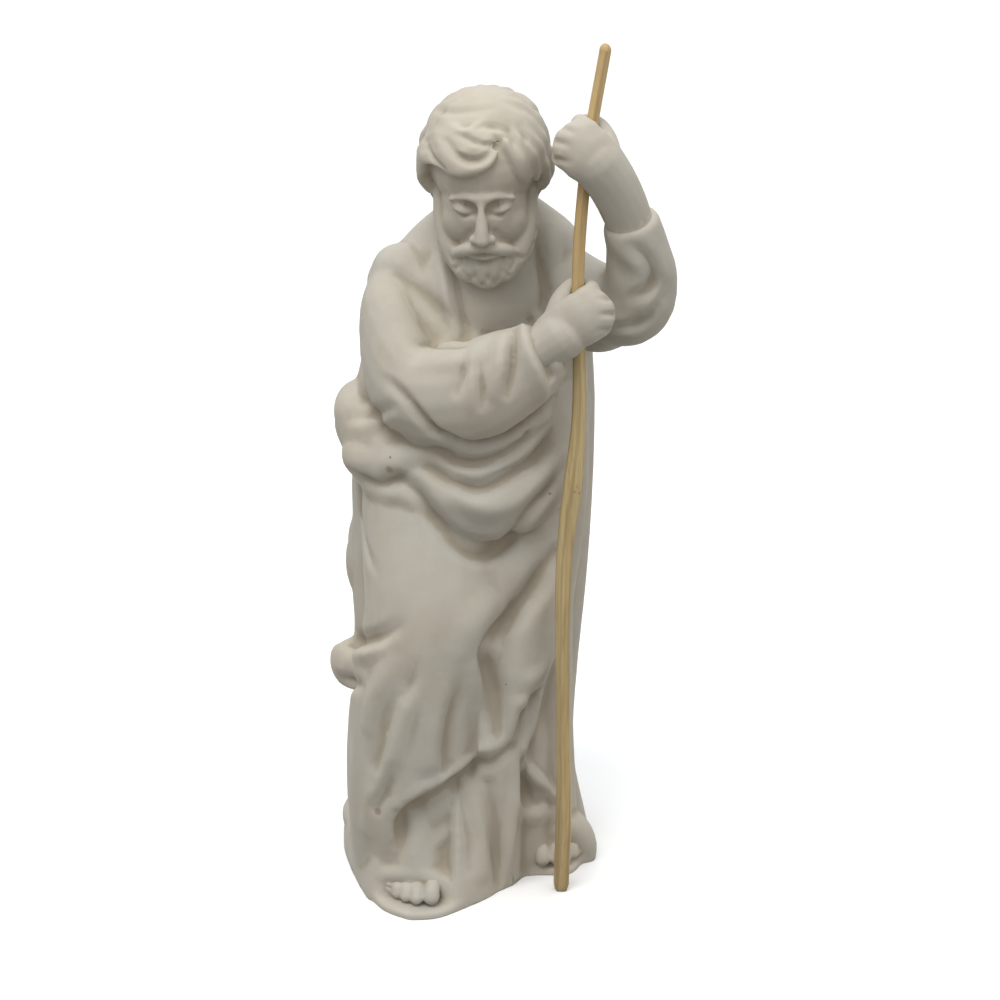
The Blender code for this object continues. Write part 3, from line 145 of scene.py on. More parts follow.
def limb(path, radii, flat=1.0, up=(0, 0, 1), sides=16, steps=6, end=1.0):
    """Round-ended tube along a smooth path. Flat is its depth as a share of its height along up, and end
    is how far its last end bulges, as a share of a round one."""
    centre = spline(path, steps)
    radius = np.abs(spline(radii, steps)[:, 0])
    along = np.gradient(centre, axis=0)
    along /= np.linalg.norm(along, axis=1)[:, None]
    if flat == 1 and np.abs(along[:, 2]).mean() > UPRIGHT:
        up = (0, 1, 0)
    across = np.cross(along, np.asarray(up, float))
    across /= np.maximum(np.linalg.norm(across, axis=1), TINY)[:, None]
    high = np.cross(across, along)
    turn = np.arange(sides) * 2 * math.pi / sides

    def ring(i, shift, share):
        wide = radius[i] * share
        return (centre[i] + along[i] * shift * radius[i]
                + wide * (flat * np.outer(np.cos(turn), across[i]) + np.outer(np.sin(turn), high[i])))

    cap = [math.radians(a) for a in CAP_ANGLES]
    rings = [ring(0, -math.sin(a), math.cos(a)) for a in cap]
    rings += [ring(i, 0, 1) for i in range(len(centre))]
    rings += [ring(len(centre) - 1, math.sin(a) * end, math.cos(a)) for a in reversed(cap)]
    return skin_rings(rings)


def ball(centre, radii):
    """Ellipsoid."""
    bm = bmesh.new()
    bmesh.ops.create_uvsphere(bm, u_segments=20, v_segments=14, radius=1)
    place = Matrix.Translation(centre) @ Matrix.Diagonal((*radii, 1))
    bmesh.ops.transform(bm, matrix=place, verts=bm.verts)
    bm.verts.ensure_lookup_table()
    points = np.array([v.co[:] for v in bm.verts])
    faces = [tuple(v.index for v in f.verts) for f in bm.faces]
    bm.free()
    return points, faces


def column(stations, sides=48, steps=4, square=2.3):
    """Upright loft. Each station is (height, left, right, front, back) of a rounded section."""
    turn = np.arange(sides) * 2 * math.pi / sides
    cos, sin = np.cos(turn), np.sin(turn)
    bend = 2 / square
    rings = []
    for height, left, right, front, back in spline(stations, steps):
        x = (left + right) / 2 + (right - left) / 2 * np.sign(cos) * np.abs(cos) ** bend
        y = (front + back) / 2 + (back - front) / 2 * np.sign(sin) * np.abs(sin) ** bend
        rings.append(np.stack([x, y, np.full(sides, height)], 1))
    return skin_rings(rings)


def closed_ring(outline, steps):
    """Smooth closed loop through the points of an outline."""
    return spline(outline + [outline[0]], steps)[:-1]


def slab(outline, low, high):
    """Flat plate with a smooth closed outline."""
    ring = closed_ring(outline, 6)
    return skin_rings([np.column_stack([ring, np.full(len(ring), z)]) for z in (low, high)])


def mesh_object(name, points, faces):
    mesh = bpy.data.meshes.new(name)
    mesh.from_pydata([tuple(p) for p in points], [], [tuple(f) for f in faces])
    thing = bpy.data.objects.new(name, mesh)
    bpy.context.scene.collection.objects.link(thing)
    return thing


def face_out(thing):
    """Turns every face of closed shapes outward."""
    bm = bmesh.new()
    bm.from_mesh(thing.data)
    bmesh.ops.recalc_face_normals(bm, faces=bm.faces)
    bm.to_mesh(thing.data)
    bm.free()
    return thing


def gather(name, clay):
    """One object that holds every shape in clay, overlapping."""
    points, faces, start = [], [], 0
    for some, skin in clay:
        points.append(some)
        faces += [tuple(i + start for i in f) for f in skin]
        start += len(some)
    return face_out(mesh_object(name, np.vstack(points), faces))


def add_mesh(thing, other):
    """Adds the other object's faces as they are. The other one is used up."""
    bm = bmesh.new()
    bm.from_mesh(thing.data)
    bm.from_mesh(other.data)
    bm.to_mesh(thing.data)
    bm.free()
    bpy.data.objects.remove(other, do_unlink=True)


def settle(thing):
    """Replaces an object's mesh with what its modifiers make of it."""
    bpy.context.view_layer.update()
    graph = bpy.context.evaluated_depsgraph_get()
    made = bpy.data.meshes.new_from_object(thing.evaluated_get(graph))
    thing.modifiers.clear()
    thing.data = made
    return thing


def fuse(thing, grain):
    remesh = thing.modifiers.new("fuse", "REMESH")
    remesh.mode = "VOXEL"
    remesh.voxel_size = grain
    remesh.adaptivity = 0
    return settle(thing)


def relax(thing, radius, grain):
    """Smooths the skin over about the given radius, whatever the grain."""
    smooth = thing.modifiers.new("relax", "SMOOTH")
    smooth.factor = 0.5
    smooth.iterations = max(1, round(2 * (radius / grain) ** 2))
    return settle(thing)


def combine(thing, other, operation):
    """Boolean of two objects. The other one is used up."""
    boolean = thing.modifiers.new("combine", "BOOLEAN")
    boolean.operation = operation
    boolean.solver = "EXACT"
    boolean.object = other
    settle(thing)
    bpy.data.objects.remove(other, do_unlink=True)
    return thing


def thin_out(thing, triangles):
    thing.data.calc_loop_triangles()
    decimate = thing.modifiers.new("thin out", "DECIMATE")
    decimate.ratio = min(1.0, triangles / len(thing.data.loop_triangles))
    return settle(thing)


# Carving: strokes that raise or sink the skin along a path, seen from one side


def from_eye(across, up):
    """Ray through a place on the front drawing."""
    target = DRAWING_CENTRE + Vector((across, 0, 0)) + SIGHT_UP * (up - DRAWING_CENTRE_UP)
    return EYE, (target - EYE).normalized()


SIDE_DISTANCE = 300


def from_side(azimuth):
    """Level rays from one side: azimuth 0 is the front, 90 the figure's left, 180 the back."""
    turn = math.radians(azimuth)
    away = Vector((math.sin(turn), -math.cos(turn), 0))
    right = Vector((math.cos(turn), math.sin(turn), 0))

    def ray(across, up):
        return right * across + Vector((0, 0, up)) + away * SIDE_DISTANCE, -away

    return ray


def close_steps(hits, heights, facing, step):
    """The stroke's places again, spaced evenly about a step apart along the skin."""
    run = np.concatenate([[0], np.cumsum(np.linalg.norm(np.diff(hits, axis=0), axis=1))])
    places = np.linspace(0, run[-1], max(3, int(run[-1] / step) + 1))
    hits = np.column_stack([np.interp(places, run, hits[:, k]) for k in range(3)])
    facing = np.column_stack([np.interp(places, run, facing[:, k]) for k in range(3)])
    facing /= np.maximum(np.linalg.norm(facing, axis=1), TINY)[:, None]
    return hits, np.interp(places, run, heights), facing


def read_skin(mesh):
    """The mesh's points and their normals, as rows."""
    points = np.empty(len(mesh.vertices) * 3)
    normals = np.empty_like(points)
    mesh.vertices.foreach_get("co", points)
    mesh.vertex_normals.foreach_get("vector", normals)
    return points.reshape(-1, 3), normals.reshape(-1, 3)


def skin_tree(mesh):
    """Lookup of the mesh's faces for rays."""
    return BVHTree.FromPolygons([v.co for v in mesh.vertices], [p.vertices[:] for p in mesh.polygons])


# A stroke skips skin that lies flatter than this to its ray, and passes by points that face away from it
GRAZING = 0.2
TURNED_AWAY = -0.1
STROKE_STEPS = 8
STEPS_PER_WIDTH = 6
# How much narrower the steep side of a stroke can get, and how much narrower a valley is than a ridge
STEEP_SHARE = 0.8
VALLEY_POWER = 1.4


def trace(tree, marks, ray, step):
    """Where a stroke runs on the skin: its places, its heights and the way that the skin faces there."""
    hits, heights, facing = [], [], []
    for across, up, height in spline(marks, STROKE_STEPS):
        start, direction = ray(across, up)
        spot, normal, _, _ = tree.ray_cast(start, direction)
        if spot is not None and -normal.dot(direction) > GRAZING:
            hits.append(spot[:])
            heights.append(height)
            facing.append(normal[:])
    if len(hits) < 2:
        return None
    return close_steps(np.array(hits), np.array(heights), np.array(facing), step)


def stroke_lift(points, normals, traced, width, steep):
    """How far a stroke raises each of the points."""
    hits, heights, facing = traced
    gap = points[:, None, :] - hits[None]
    distance = np.linalg.norm(gap, axis=2)
    nearest = distance.argmin(1)
    rows = np.arange(len(points))
    distance = distance[rows, nearest]
    along = np.gradient(hits, axis=0)[nearest]
    side = np.sign((np.cross(facing[nearest], along) * gap[rows, nearest]).sum(1))
    reach = width * (1 - np.clip(side * steep, 0, 1) * STEEP_SHARE)
    bell = np.clip(1 - distance / reach, 0, 1)
    bell = bell * bell * (3 - 2 * bell)
    bell = np.where(heights[nearest] < 0, bell ** VALLEY_POWER, bell)
    agree = (normals * facing[nearest]).sum(1) > TURNED_AWAY
    return heights[nearest] * bell * agree


def carve(thing, strokes, ray=from_eye, relief=1.0, spread=1.0):
    """Each stroke is (width, steep, [(across, up, height), ...]). A positive height is a ridge, a
    negative one a groove. Steep, from -1 to 1, makes its left or right side the sharper one. Relief
    multiplies the heights and spread the widths."""
    mesh = thing.data
    points, normals = read_skin(mesh)
    tree = skin_tree(mesh)
    lift = np.zeros(len(points))
    for narrow, steep, marks in strokes:
        width = narrow * spread
        traced = trace(tree, marks, ray, width / STEPS_PER_WIDTH)
        if traced is None:
            continue
        low, high = traced[0].min(0) - width, traced[0].max(0) + width
        near = np.where(((points > low) & (points < high)).all(1))[0]
        if len(near):
            lift[near] += stroke_lift(points[near], normals[near], traced, width, steep)
    points += normals * lift[:, None] * relief
    mesh.vertices.foreach_set("co", points.ravel())
    mesh.update()
    return thing


# The head, in its own frame: its centre at the origin, facing -Y

HEAD_CENTRE = (4.2, -15.5, 215.0)
HEAD_SIZE = 1.03
HEAD_BOW = 17.0
HEAD_TURN = -5.0
HEAD_LEAN = -2.0


def mirrored(clay):
    """The clay and its mirror image across X."""
    other = [(points * (-1, 1, 1), [f[::-1] for f in faces]) for points, faces in clay]
    return clay + other


def face_clay():
    centre = [
        ball((0, 2, 6), (14.6, 16.5, 14.0)),
        ball((0, -3.6, -4.5), (11.8, 12.2, 16.5)),
        ball((0, -6.5, -14.5), (8.6, 8.0, 7.2)),
        limb([(-8.5, -12.0, 1.4), (-3.4, -14.0, 2.2), (3.4, -14.0, 2.2),
              (8.5, -12.0, 1.4)], [0.7, 1.5, 1.5, 0.7]),
        limb([(0, -13.6, 2.4), (0, -16.2, -2.2), (0, -18.3, -6.4)], [1.9, 1.8, 2.1], flat=0.9),
        ball((0, -19.0, -7.4), (2.0, 2.0, 1.7)),
        limb([(-3.4, -15.3, -13.6), (0, -16.6, -13.3), (3.4, -15.3, -13.6)], [0.9, 1.2, 0.9]),
        limb([(0, 2, -12), (0, 6, -22), (0, 9, -30)], [9.5, 10.0, 12.0]),
    ]
    pair = mirrored([
        ball((2.2, -17.2, -7.9), (1.5, 1.7, 1.3)),
        ball((5.7, -8.4, -6.6), (5.6, 4.9, 6.4)),
        ball((4.9, -12.2, -0.9), (3.0, 2.6, 2.3)),
    ])
    return centre + pair


def beard_clay():
    centre = [
        ball((0, -9.6, -18.6), (8.6, 7.6, 6.4)),
        ball((0, -12.6, -20.4), (5.2, 4.6, 4.6)),
        ball((0, -15.2, -16.6), (2.6, 1.6, 1.6)),
    ]
    pair = mirrored([
        limb([(12.2, -1.4, 0.0), (12.0, -4.6, -7.0), (9.8, -8.6, -14.0), (5.0, -12.4, -19.0)],
             [1.8, 3.0, 3.8, 4.4], flat=0.8),
        limb([(0.9, -17.3, -10.6), (4.2, -15.8, -11.6), (7.6, -12.9, -14.2), (9.2, -10.6, -17.4)],
             [1.3, 1.8, 1.5, 0.9]),
    ])
    return centre + pair


# The shell that the hair lies on: its middle, and its reach to the sides, to the front and upward
HAIR_MIDDLE = (0, 3.0, 6.0)
HAIR_REACH = (17.0, 18.4, 15.8)


def hair_spot(azimuth, climb, swell=1.0):
    """Point on the hair's shell: azimuth 0 is the forehead, 90 the figure's left, and climb runs from the
    brow to the crown."""
    a, c = math.radians(azimuth), math.radians(climb)
    side, front, high = (reach * swell for reach in HAIR_REACH)
    return (side * math.sin(a) * math.cos(c),
            HAIR_MIDDLE[1] - front * math.cos(a) * math.cos(c),
            HAIR_MIDDLE[2] + high * math.sin(c))


def lock(spots, radii, flat=0.75, swell=1.0):
    return limb([hair_spot(*spot, swell) for spot in spots], radii, flat=flat, sides=12)


def hair_clay():
    shell = [
        ball((0, 5.0, 7.6), (15.8, 17.0, 15.4)),
        ball((0, 9.0, -4.0), (14.9, 11.5, 13.6)),
        ball((0.3, 5.0, 11.8), (16.3, 14.5, 12.5)),
    ]
    # Fringe: nested locks swing from the parting over the left brow down across the forehead
    fringe = [
        lock([(22 - 2 * k, 34 + 8 * k), (6 - 2 * k, 21 + 9 * k), (-20, 13 + 9 * k), (-46, 17 + 8.5 * k),
              (-68 - 3 * k, 6 + 8 * k)], [0.8, 1.5 - 0.3 * (k % 2), 1.6 - 0.4 * (k % 2), 1.4, 0.8])
        for k in range(5)
    ]
    left = [
        lock([(26 + 15 * k, 52), (33 + 15 * k, 34), (40 + 15 * k, 14), (47 + 15 * k, -4 - 5 * k)],
             [1.2, 2.1, 2.4, 1.6], swell=0.95)
        for k in range(4)
    ]
    sides = [
        lock([(azimuth, 40), (azimuth + 8, 16), (azimuth + 4, -14), (azimuth + 9, -40)],
             [0.8, 1.9, 2.3, 1.7])
        for azimuth in (-156, -132, -108, -84, 104, 126, 148, 170, 192)
    ]
    temples = [
        lock([(-70, 12), (-76, -10), (-74, -34)], [2.0, 2.4, 1.4]),
        lock([(-88, 10), (-92, -16), (-89, -42)], [2.0, 2.8, 1.9]),
        lock([(74, 0), (78, -18), (77, -38)], [2.0, 2.4, 1.4]),
        lock([(92, 4), (94, -20), (92, -44)], [2.0, 2.8, 1.9]),
    ]
    return shell + fringe + left + sides + temples


def pair(width, marks):
    """The same stroke on both sides of the face, given for the figure's left."""
    return [(width, 0, [(side * across, up, height) for across, up, height in marks]) for side in (-1, 1)]


FACE_STROKES = [
    # eye sockets with the crease above each lid, and the lid's edge
    *pair(3.2, [(6.6, 1.2, -0.7), (4.0, 1.0, -1.3), (2.2, -0.6, -1.2)]),
    *pair(1.1, [(7.4, -1.6, -0.4), (4.9, -2.6, -0.9), (2.4, -1.7, -0.4)]),
    # between the lips, and below the lower one
    (1.0, 0, [(-3.6, -13.0, -0.3), (0, -12.6, -0.9), (3.6, -13.0, -0.3)]),
    (1.8, 0, [(-2.6, -15.2, -0.2), (0, -15.4, -0.7), (2.6, -15.2, -0.2)]),
    # from the nose to the cheek
    *pair(2.2, [(3.4, -7.0, -0.5), (5.6, -9.8, -0.4), (7.6, -12.0, -0.1)]),
]


def beard_strokes():
    """Short wavy tufts round the rim of the chin."""
    strokes = []
    for i in range(-5, 6):
        fan = i / 5
        drop = 5.4 * abs(fan) ** 1.7
        sway = 0.6 * (-1) ** i
        strokes.append((1.7, 0.2, [(fan * 8.2, -17.8 + drop, -0.05), (fan * 8.8 + sway, -20.0 + drop, -0.4),
                                   (fan * 9.4 - sway, -22.6 + 1.2 * drop, -0.5)]))
    return strokes


def whisker_strokes():
    """Short curls down the jaw, seen from the side: from front to back, and up."""
    strokes = []
    for k in range(5):
        back, up = -2.6 - 1.7 * k, -3.5 - 2.8 * k
        strokes.append((1.3, 0, [(back + 2.2, up + 0.8, -0.3), (back, up, -0.9),
                                 (back - 1.6, up - 1.8, -0.4)]))
    return strokes


def hair_strokes():
    """Shallow grooves that swirl out from the crown over the top and the back of the head."""
    strokes = []
    for k, azimuth in enumerate(range(65, 290, 25)):
        sway = 6 * (-1) ** k
        strokes.append((3.0, 0.3, [(azimuth, 78, -0.1), (azimuth + 12, 62, -0.5),
                                   (azimuth + 14 + sway, 46, -0.6), (azimuth + 22, 30, -0.3)]))
    return strokes


# The front hair on the front drawing: locks hang in nested curves to the right of the parting, and
# fall away beside the temple at its left
FRONT_HAIR = [
    (2.2, 0, [(1.5, 236, -0.3), (6, 236.4, -0.7), (11, 235.2, -0.5)]),
    (2.2, 0.3, [(-3.4, 234, -0.3), (1.6, 231.8, -0.9), (6, 231, -0.9), (10.4, 233.4, -0.4)]),
    (2.6, 0.3, [(-7.4, 232, -0.3), (-3, 227.3, -1.0), (0.6, 226.1, -1.2), (4.5, 227.2, -1.0),
                (8.4, 231.4, -0.4)]),
    (3.0, 0, [(-12, 236.4, 0.1), (-10.2, 233.6, 0.3), (-7.4, 227, 0.4), (-3, 224, 0.3), (3, 223.6, 0.3),
              (8, 227, 0.1)]),
    (2.2, 0.3, [(-13, 232, -0.3), (-11.2, 227, -0.8), (-7.8, 223.6, -0.6)]),
    (2.8, -0.3, [(11.6, 237, -0.2), (12.6, 232, -0.6), (14.2, 228, -0.6), (16, 222.6, -0.2)]),
    (2.8, -0.3, [(15, 236, -0.2), (17, 230.4, -0.5), (19, 224, -0.2)]),
    (2.6, 0, [(-12.4, 242, -0.2), (-6, 240.6, -0.6), (0, 240.8, -0.5), (7, 241.6, -0.2)]),
]


# How far outside the head the rays of its strokes start
RAY_START = 60
CROWN_RAY_SWELL = 2.5


def level_front(across, up):
    return Vector((across, -RAY_START, up)), Vector((0, 1, 0))


def level_side(side):
    """Level rays at one side of the head, -1 for its right and 1 for its left."""
    def ray(back, up):
        return Vector((side * RAY_START, back, up)), Vector((-side, 0, 0))

    return ray


def to_crown(azimuth, climb):
    """Ray from outside to the middle of the hair's shell."""
    start = Vector(hair_spot(azimuth, climb, CROWN_RAY_SWELL))
    return start, (Vector(hair_spot(0, 0, 0)) - start).normalized()


def make_head():
    hair = fuse(gather("hair", hair_clay()), HEAD_GRAIN)
    relax(hair, HAIR_SOFTNESS, HEAD_GRAIN)
    head = gather("head", face_clay() + beard_clay())
    add_mesh(head, hair)
    fuse(head, HEAD_GRAIN)
    relax(head, FACE_SOFTNESS, HEAD_GRAIN)
    carve(head, FACE_STROKES + beard_strokes(), level_front)
    for side in (-1, 1):
        carve(head, whisker_strokes(), level_side(side))
    carve(head, hair_strokes(), to_crown)
    turn = Euler([math.radians(HEAD_BOW), math.radians(HEAD_LEAN), math.radians(HEAD_TURN)])
    tilt = turn.to_matrix().to_4x4()
    head.data.transform(Matrix.Translation(HEAD_CENTRE) @ tilt @ Matrix.Scale(HEAD_SIZE, 4))
    carve(head, FRONT_HAIR)
    thin_out(head, HEAD_TRIANGLES)
    return head


# The staff: a whittled stick with a slight crook, given by where it passes at each height

STAFF_ROUTE = [
    # across, front to back, height, thickness as a share of STAFF_THICKNESS
    (28.0, -29.8, 0, 1.10),
    (28.3, -31.5, 30, 1.14),
    (27.4, -32.6, 64, 0.96),
    (26.7, -33.0, 100, 1.02),
    (27.4, -33.0, 118, 1.12),
    (28.9, -33.0, 133, 1.24),
    (30.2, -33.0, 152, 0.92),
    (29.9, -33.0, 172, 0.80),
    (29.2, -32.6, 192, 0.78),
    (29.8, -31.8, 210, 0.78),
    (31.6, -30.8, 229, 0.76),
    (35.4, -28.6, 252, 0.72),
]
STAFF_SIDES = 12
STAFF_STEPS = 2
STAFF_END_RUN = 2.0


def staff_rings(extra=0.0, low=0.0, high=None):
    """Rings of the staff in units, each extra units thicker all round than the wood."""
    route = spline(STAFF_ROUTE, STAFF_STEPS)
    top = STAFF_LENGTH / UNIT if high is None else high
    slope = (route[-1] - route[-3]) / (route[-1][2] - route[-3][2])
    base = route[0].copy()
    base[2] = low
    route = np.vstack([base, route[(route[:, 2] > low + 0.5) & (route[:, 2] < top - 0.5)]])
    route = np.vstack([route, route[-1] + slope * (top - route[-1][2])])
    turn = (np.arange(STAFF_SIDES) + 0.5) * 2 * math.pi / STAFF_SIDES
    circle = np.column_stack([np.cos(turn), np.sin(turn), np.zeros(STAFF_SIDES)])
    return [row[:3] + circle * (row[3] * STAFF_THICKNESS / UNIT / 2 + extra) for row in route]


LOOK_AHEAD = 4


def staff_at(height):
    """Where the staff's centre line is at a height, and its direction there."""
    route = spline(STAFF_ROUTE, 8)[:, :3]
    spot = np.array([np.interp(height, route[:, 2], route[:, k]) for k in range(3)])
    ahead = np.array([np.interp(height + LOOK_AHEAD, route[:, 2], route[:, k]) for k in range(3)])
    return spot, ahead - spot


# Hands: fists closed on the staff. In a fist's own frame the staff runs along Z through the origin,
# the back of the hand is towards -Y and the knuckles towards +X

FIST_SIZE = 0.96
FINGER_HEIGHTS = (5.9, 2.3, -1.3, -4.8)

# Each forearm runs from inside its sleeve to the wrist: across, front to back, height, radius
LOWER_FOREARM = [(6, -31, 163, 5.2), (13, -33, 168, 5.6), (19, -34.4, 172.4, 6.2), (25, -35.4, 176.8, 7.2)]
UPPER_FOREARM = [(46.8, -24, 192, 5.2), (45.2, -26.2, 200, 6.0), (41.9, -28.8, 209.5, 6.6),
                 (37.9, -31.4, 217.5, 6.9), (33.6, -33, 223.4, 7.4)]


def fist_clay():
    """Back of the hand, four curled fingers and the thumb."""
    clay = [
        limb([(-8, -2.2, -2.4), (-3.5, -3.8, -0.9), (0.5, -4.4, -0.2), (3.2, -4.2, 0.2)],
             [6.6, 7.4, 8.0, 7.6], flat=0.56),
        ball((-3.5, 0.6, -1.2), (6.5, 4.8, 6.8)),
        limb([(-8, -0.6, -1.6), (-4, 1.4, 4.4), (0.4, 3.9, 7.4), (3.8, 4.2, 7.2)], [3.8, 3.4, 2.8, 2.3]),
    ]
    for height in FINGER_HEIGHTS:
        clay.append(limb([(3.0, -4.2, height), (5.5, -2.0, height), (5.5, 2.4, height * 0.98),
                          (3.6, 5.0, height * 0.96), (-1.5, 4.8, height * 0.94)],
                         [2.7, 2.7, 2.6, 2.5, 2.2], sides=12))
    return clay


# Between the fingers of both fists, on the front drawing
FINGER_CREASES = [
    (1.8, 0, [(24.7, 226.5, -0.9), (26.8, 226.2, -0.7), (29.4, 225.6, -0.2)]),
    (1.8, 0, [(25.4, 231.8, -0.7), (27.7, 231.2, -0.5), (30.2, 230.4, -0.1)]),
    (1.8, 0, [(27.2, 236, -0.6), (29.6, 235.1, -0.4), (31.9, 233.9, -0.1)]),
    (1.8, 0, [(26.4, 221.8, -0.6), (28.6, 221.2, -0.3)]),
    (1.8, 0, [(42.6, 184.8, -0.8), (40.5, 185, -0.6), (38, 185, -0.1)]),
    (1.8, 0, [(43.4, 180.2, -0.8), (40.8, 180.3, -0.6), (38, 180.3, -0.1)]),
    (1.8, 0, [(42.8, 175.4, -0.7), (40.5, 175.5, -0.5), (38, 175.6, -0.1)]),
]


def make_hand(name, height, knuckles, roll, forearm):
    """A fist round the staff at a height, with its forearm. Knuckles is 1 towards +X and -1 towards -X,
    roll is in degrees."""
    spot, direction = staff_at(height)
    lean = Vector((0, 0, 1)).rotation_difference(Vector(direction)).to_matrix().to_4x4()
    swing = Matrix.Rotation(math.radians(roll), 4, "Y")
    side = Matrix.Diagonal((knuckles, 1, 1, 1))
    place = Matrix.Translation(spot) @ swing @ lean @ side @ Matrix.Scale(FIST_SIZE, 4)
    own = place.inverted()
    path = [(own @ Vector(mark[:3]))[:] for mark in forearm]
    arm = limb(path, [mark[3] / FIST_SIZE for mark in forearm])
    hand = fuse(gather(name, fist_clay() + [arm]), HAND_GRAIN)
    relax(hand, HAND_SOFTNESS, HAND_GRAIN)
    hand.data.transform(place)
    carve(face_out(hand), FINGER_CREASES)
    thin_out(hand, HAND_TRIANGLES)
    return hand


# Each hand: its height on the staff, the X side of its knuckles, its roll and its forearm
HANDS = [
    ("lower hand", 181.6, 1, -16, LOWER_FOREARM),
    ("upper hand", 225.6, -1, 22, UPPER_FOREARM),
]

# Feet: bare toes that come out from under the hem. In its own frame a foot points to -Y

FOOT_SIZE = 0.9
TOES = [
    # across from the big toe's centre, tip, radius
    (0.0, -8.6, 2.9),
    (4.9, -8.8, 2.3),
    (8.6, -7.6, 2.15),
    (11.9, -5.8, 2.0),
    (14.8, -3.4, 1.9),
]


def make_foot(name, place, little_side, turn):
    """A foot at the place of its big toe's root. Little_side is the X side that its small toes are on."""
    clay = [
        limb([(6.5, 16, 8), (6.8, 6, 6.0), (7.0, -1.5, 3.4)], [7.0, 6.2, 4.6], flat=1.4),
        ball((7.0, 0, 2.2), (9.6, 5.6, 3.4)),
    ]
    for across, tip, radius in TOES:
        clay.append(limb([(across, 4.0, radius + 4.0), (across, (tip + 1) / 2, radius + 2.9),
                          (across, tip + radius, radius + 0.7)], [radius, radius * 0.93, radius], sides=12))
    foot = fuse(gather(name, clay), HAND_GRAIN)
    relax(foot, FOOT_SOFTNESS, HAND_GRAIN)
    thin_out(foot, FOOT_TRIANGLES)
    if little_side < 0:
        foot.data.transform(Matrix.Scale(-1, 4, (1, 0, 0)))
        foot.data.flip_normals()
    heading = Matrix.Rotation(math.radians(turn), 4, "Z")
    foot.data.transform(Matrix.Translation(place) @ heading @ Matrix.Scale(FOOT_SIZE, 4))
    return foot


# Each foot: its big toe's root, the X side of its small toes, and how far it turns about Z
FEET = [
    ("front foot", (-10.8, -37.2, 1.8), -1, -9),
    ("rear foot", (21.2, -16, 2.4), 1, 14),
]

# The clothed body

PLINTH_OUTLINE = [
    (-18, -47.5), (-10, -46.5), (-3, -42), (5, -35), (11, -28), (16, -23), (23, -22), (31, -21.5),
    (36, -12), (38, 2), (35, 20), (24, 31), (6, 36), (-14, 35.5), (-31, 28), (-39.5, 14), (-40, -3),
    (-37.5, -15), (-33, -29), (-26.5, -41.5),
]
PLINTH_HEIGHT = 2.2
BELOW_GROUND = -6

# The robe's edge on the base, behind the toes of both feet, and how it draws in as it rises
ROBE_FOOT = [
    (-31, -36), (-26.5, -37.6), (-19, -37.4), (-12, -37), (-7, -38.4), (-3.4, -41.6), (5, -35.6),
    (11, -28.8), (16, -23.8), (18.6, -17), (24, -11.5), (32, -12), (36.8, -11.2), (38.4, 2),
    (35.4, 20.2), (24.2, 31.4), (6, 36.4), (-14, 35.9), (-31.2, 28.4), (-39.9, 14), (-40.4, -3),
    (-38, -15.2), (-34.4, -27),
]
ROBE_RISE = [(BELOW_GROUND, 1.0), (2, 1.0), (6, 0.98), (14, 0.935), (28, 0.86), (44, 0.74), (60, 0.56)]
ROBE_MIDDLE = np.array([-2, -2])


def robe_foot():
    """The lowest part of the robe, drawn in towards the middle as it rises."""
    ring = closed_ring(ROBE_FOOT, 5)
    rings = []
    for height, share in ROBE_RISE:
        drawn = ROBE_MIDDLE + (ring - ROBE_MIDDLE) * share
        rings.append(np.column_stack([drawn, np.full(len(drawn), height)]))
    return skin_rings(rings)


def tunic_clay():
    return [
        column([(BELOW_GROUND, -38, 36, -15, 34), (12, -37, 34.5, -14, 32), (45, -34, 31, -15, 28),
                (90, -32, 32, -18, 27), (130, -31, 32, -19, 26)]),
        limb([(-13, -16, 105), (-13, -17.5, 62), (-12, -18, 25), (-13, -18, BELOW_GROUND)], [17, 17, 17, 18]),
        limb([(2, -20, 100), (4.5, -22, 60), (6.5, -22.5, 25), (6.5, -21, BELOW_GROUND)], [10, 10, 9.4, 9.5]),
        limb([(20, -6, 100), (22.5, -7.5, 50), (24.5, -8, 12), (25.5, -8, BELOW_GROUND)],
             [12, 10.5, 10, 10.5]),
        limb([(17, -12, 66), (17.5, -14, 40), (17, -15, 14), (17, -14, BELOW_GROUND)], [7, 7.4, 7.6, 8]),
        slab(PLINTH_OUTLINE, BELOW_GROUND, PLINTH_HEIGHT),
        robe_foot(),
        # cloth over the front foot, and the arches of cloth that both feet come out from
        limb([(-19, -20, 34), (-17.5, -24.6, 22), (-16, -27.8, 12), (-15, -29.4, 3)], [13, 12.5, 11.5, 10.5]),
        limb([(-28, -30.5, 3), (-25.8, -33.4, 7.6), (-19, -36, 10), (-12, -36.8, 9.2), (-7.2, -37.8, 6),
              (-4.8, -39.6, 0)], [3.4, 3.6, 3.6, 3.4, 3.2, 3.0]),
        limb([(16.8, -17, 2), (18.4, -15, 9), (24, -12.8, 13.2), (31.5, -12.2, 12.2), (35.6, -11.6, 6),
              (36.4, -11, 0)], [4.0, 5.0, 5.4, 5.2, 4.4, 3.6]),
    ]


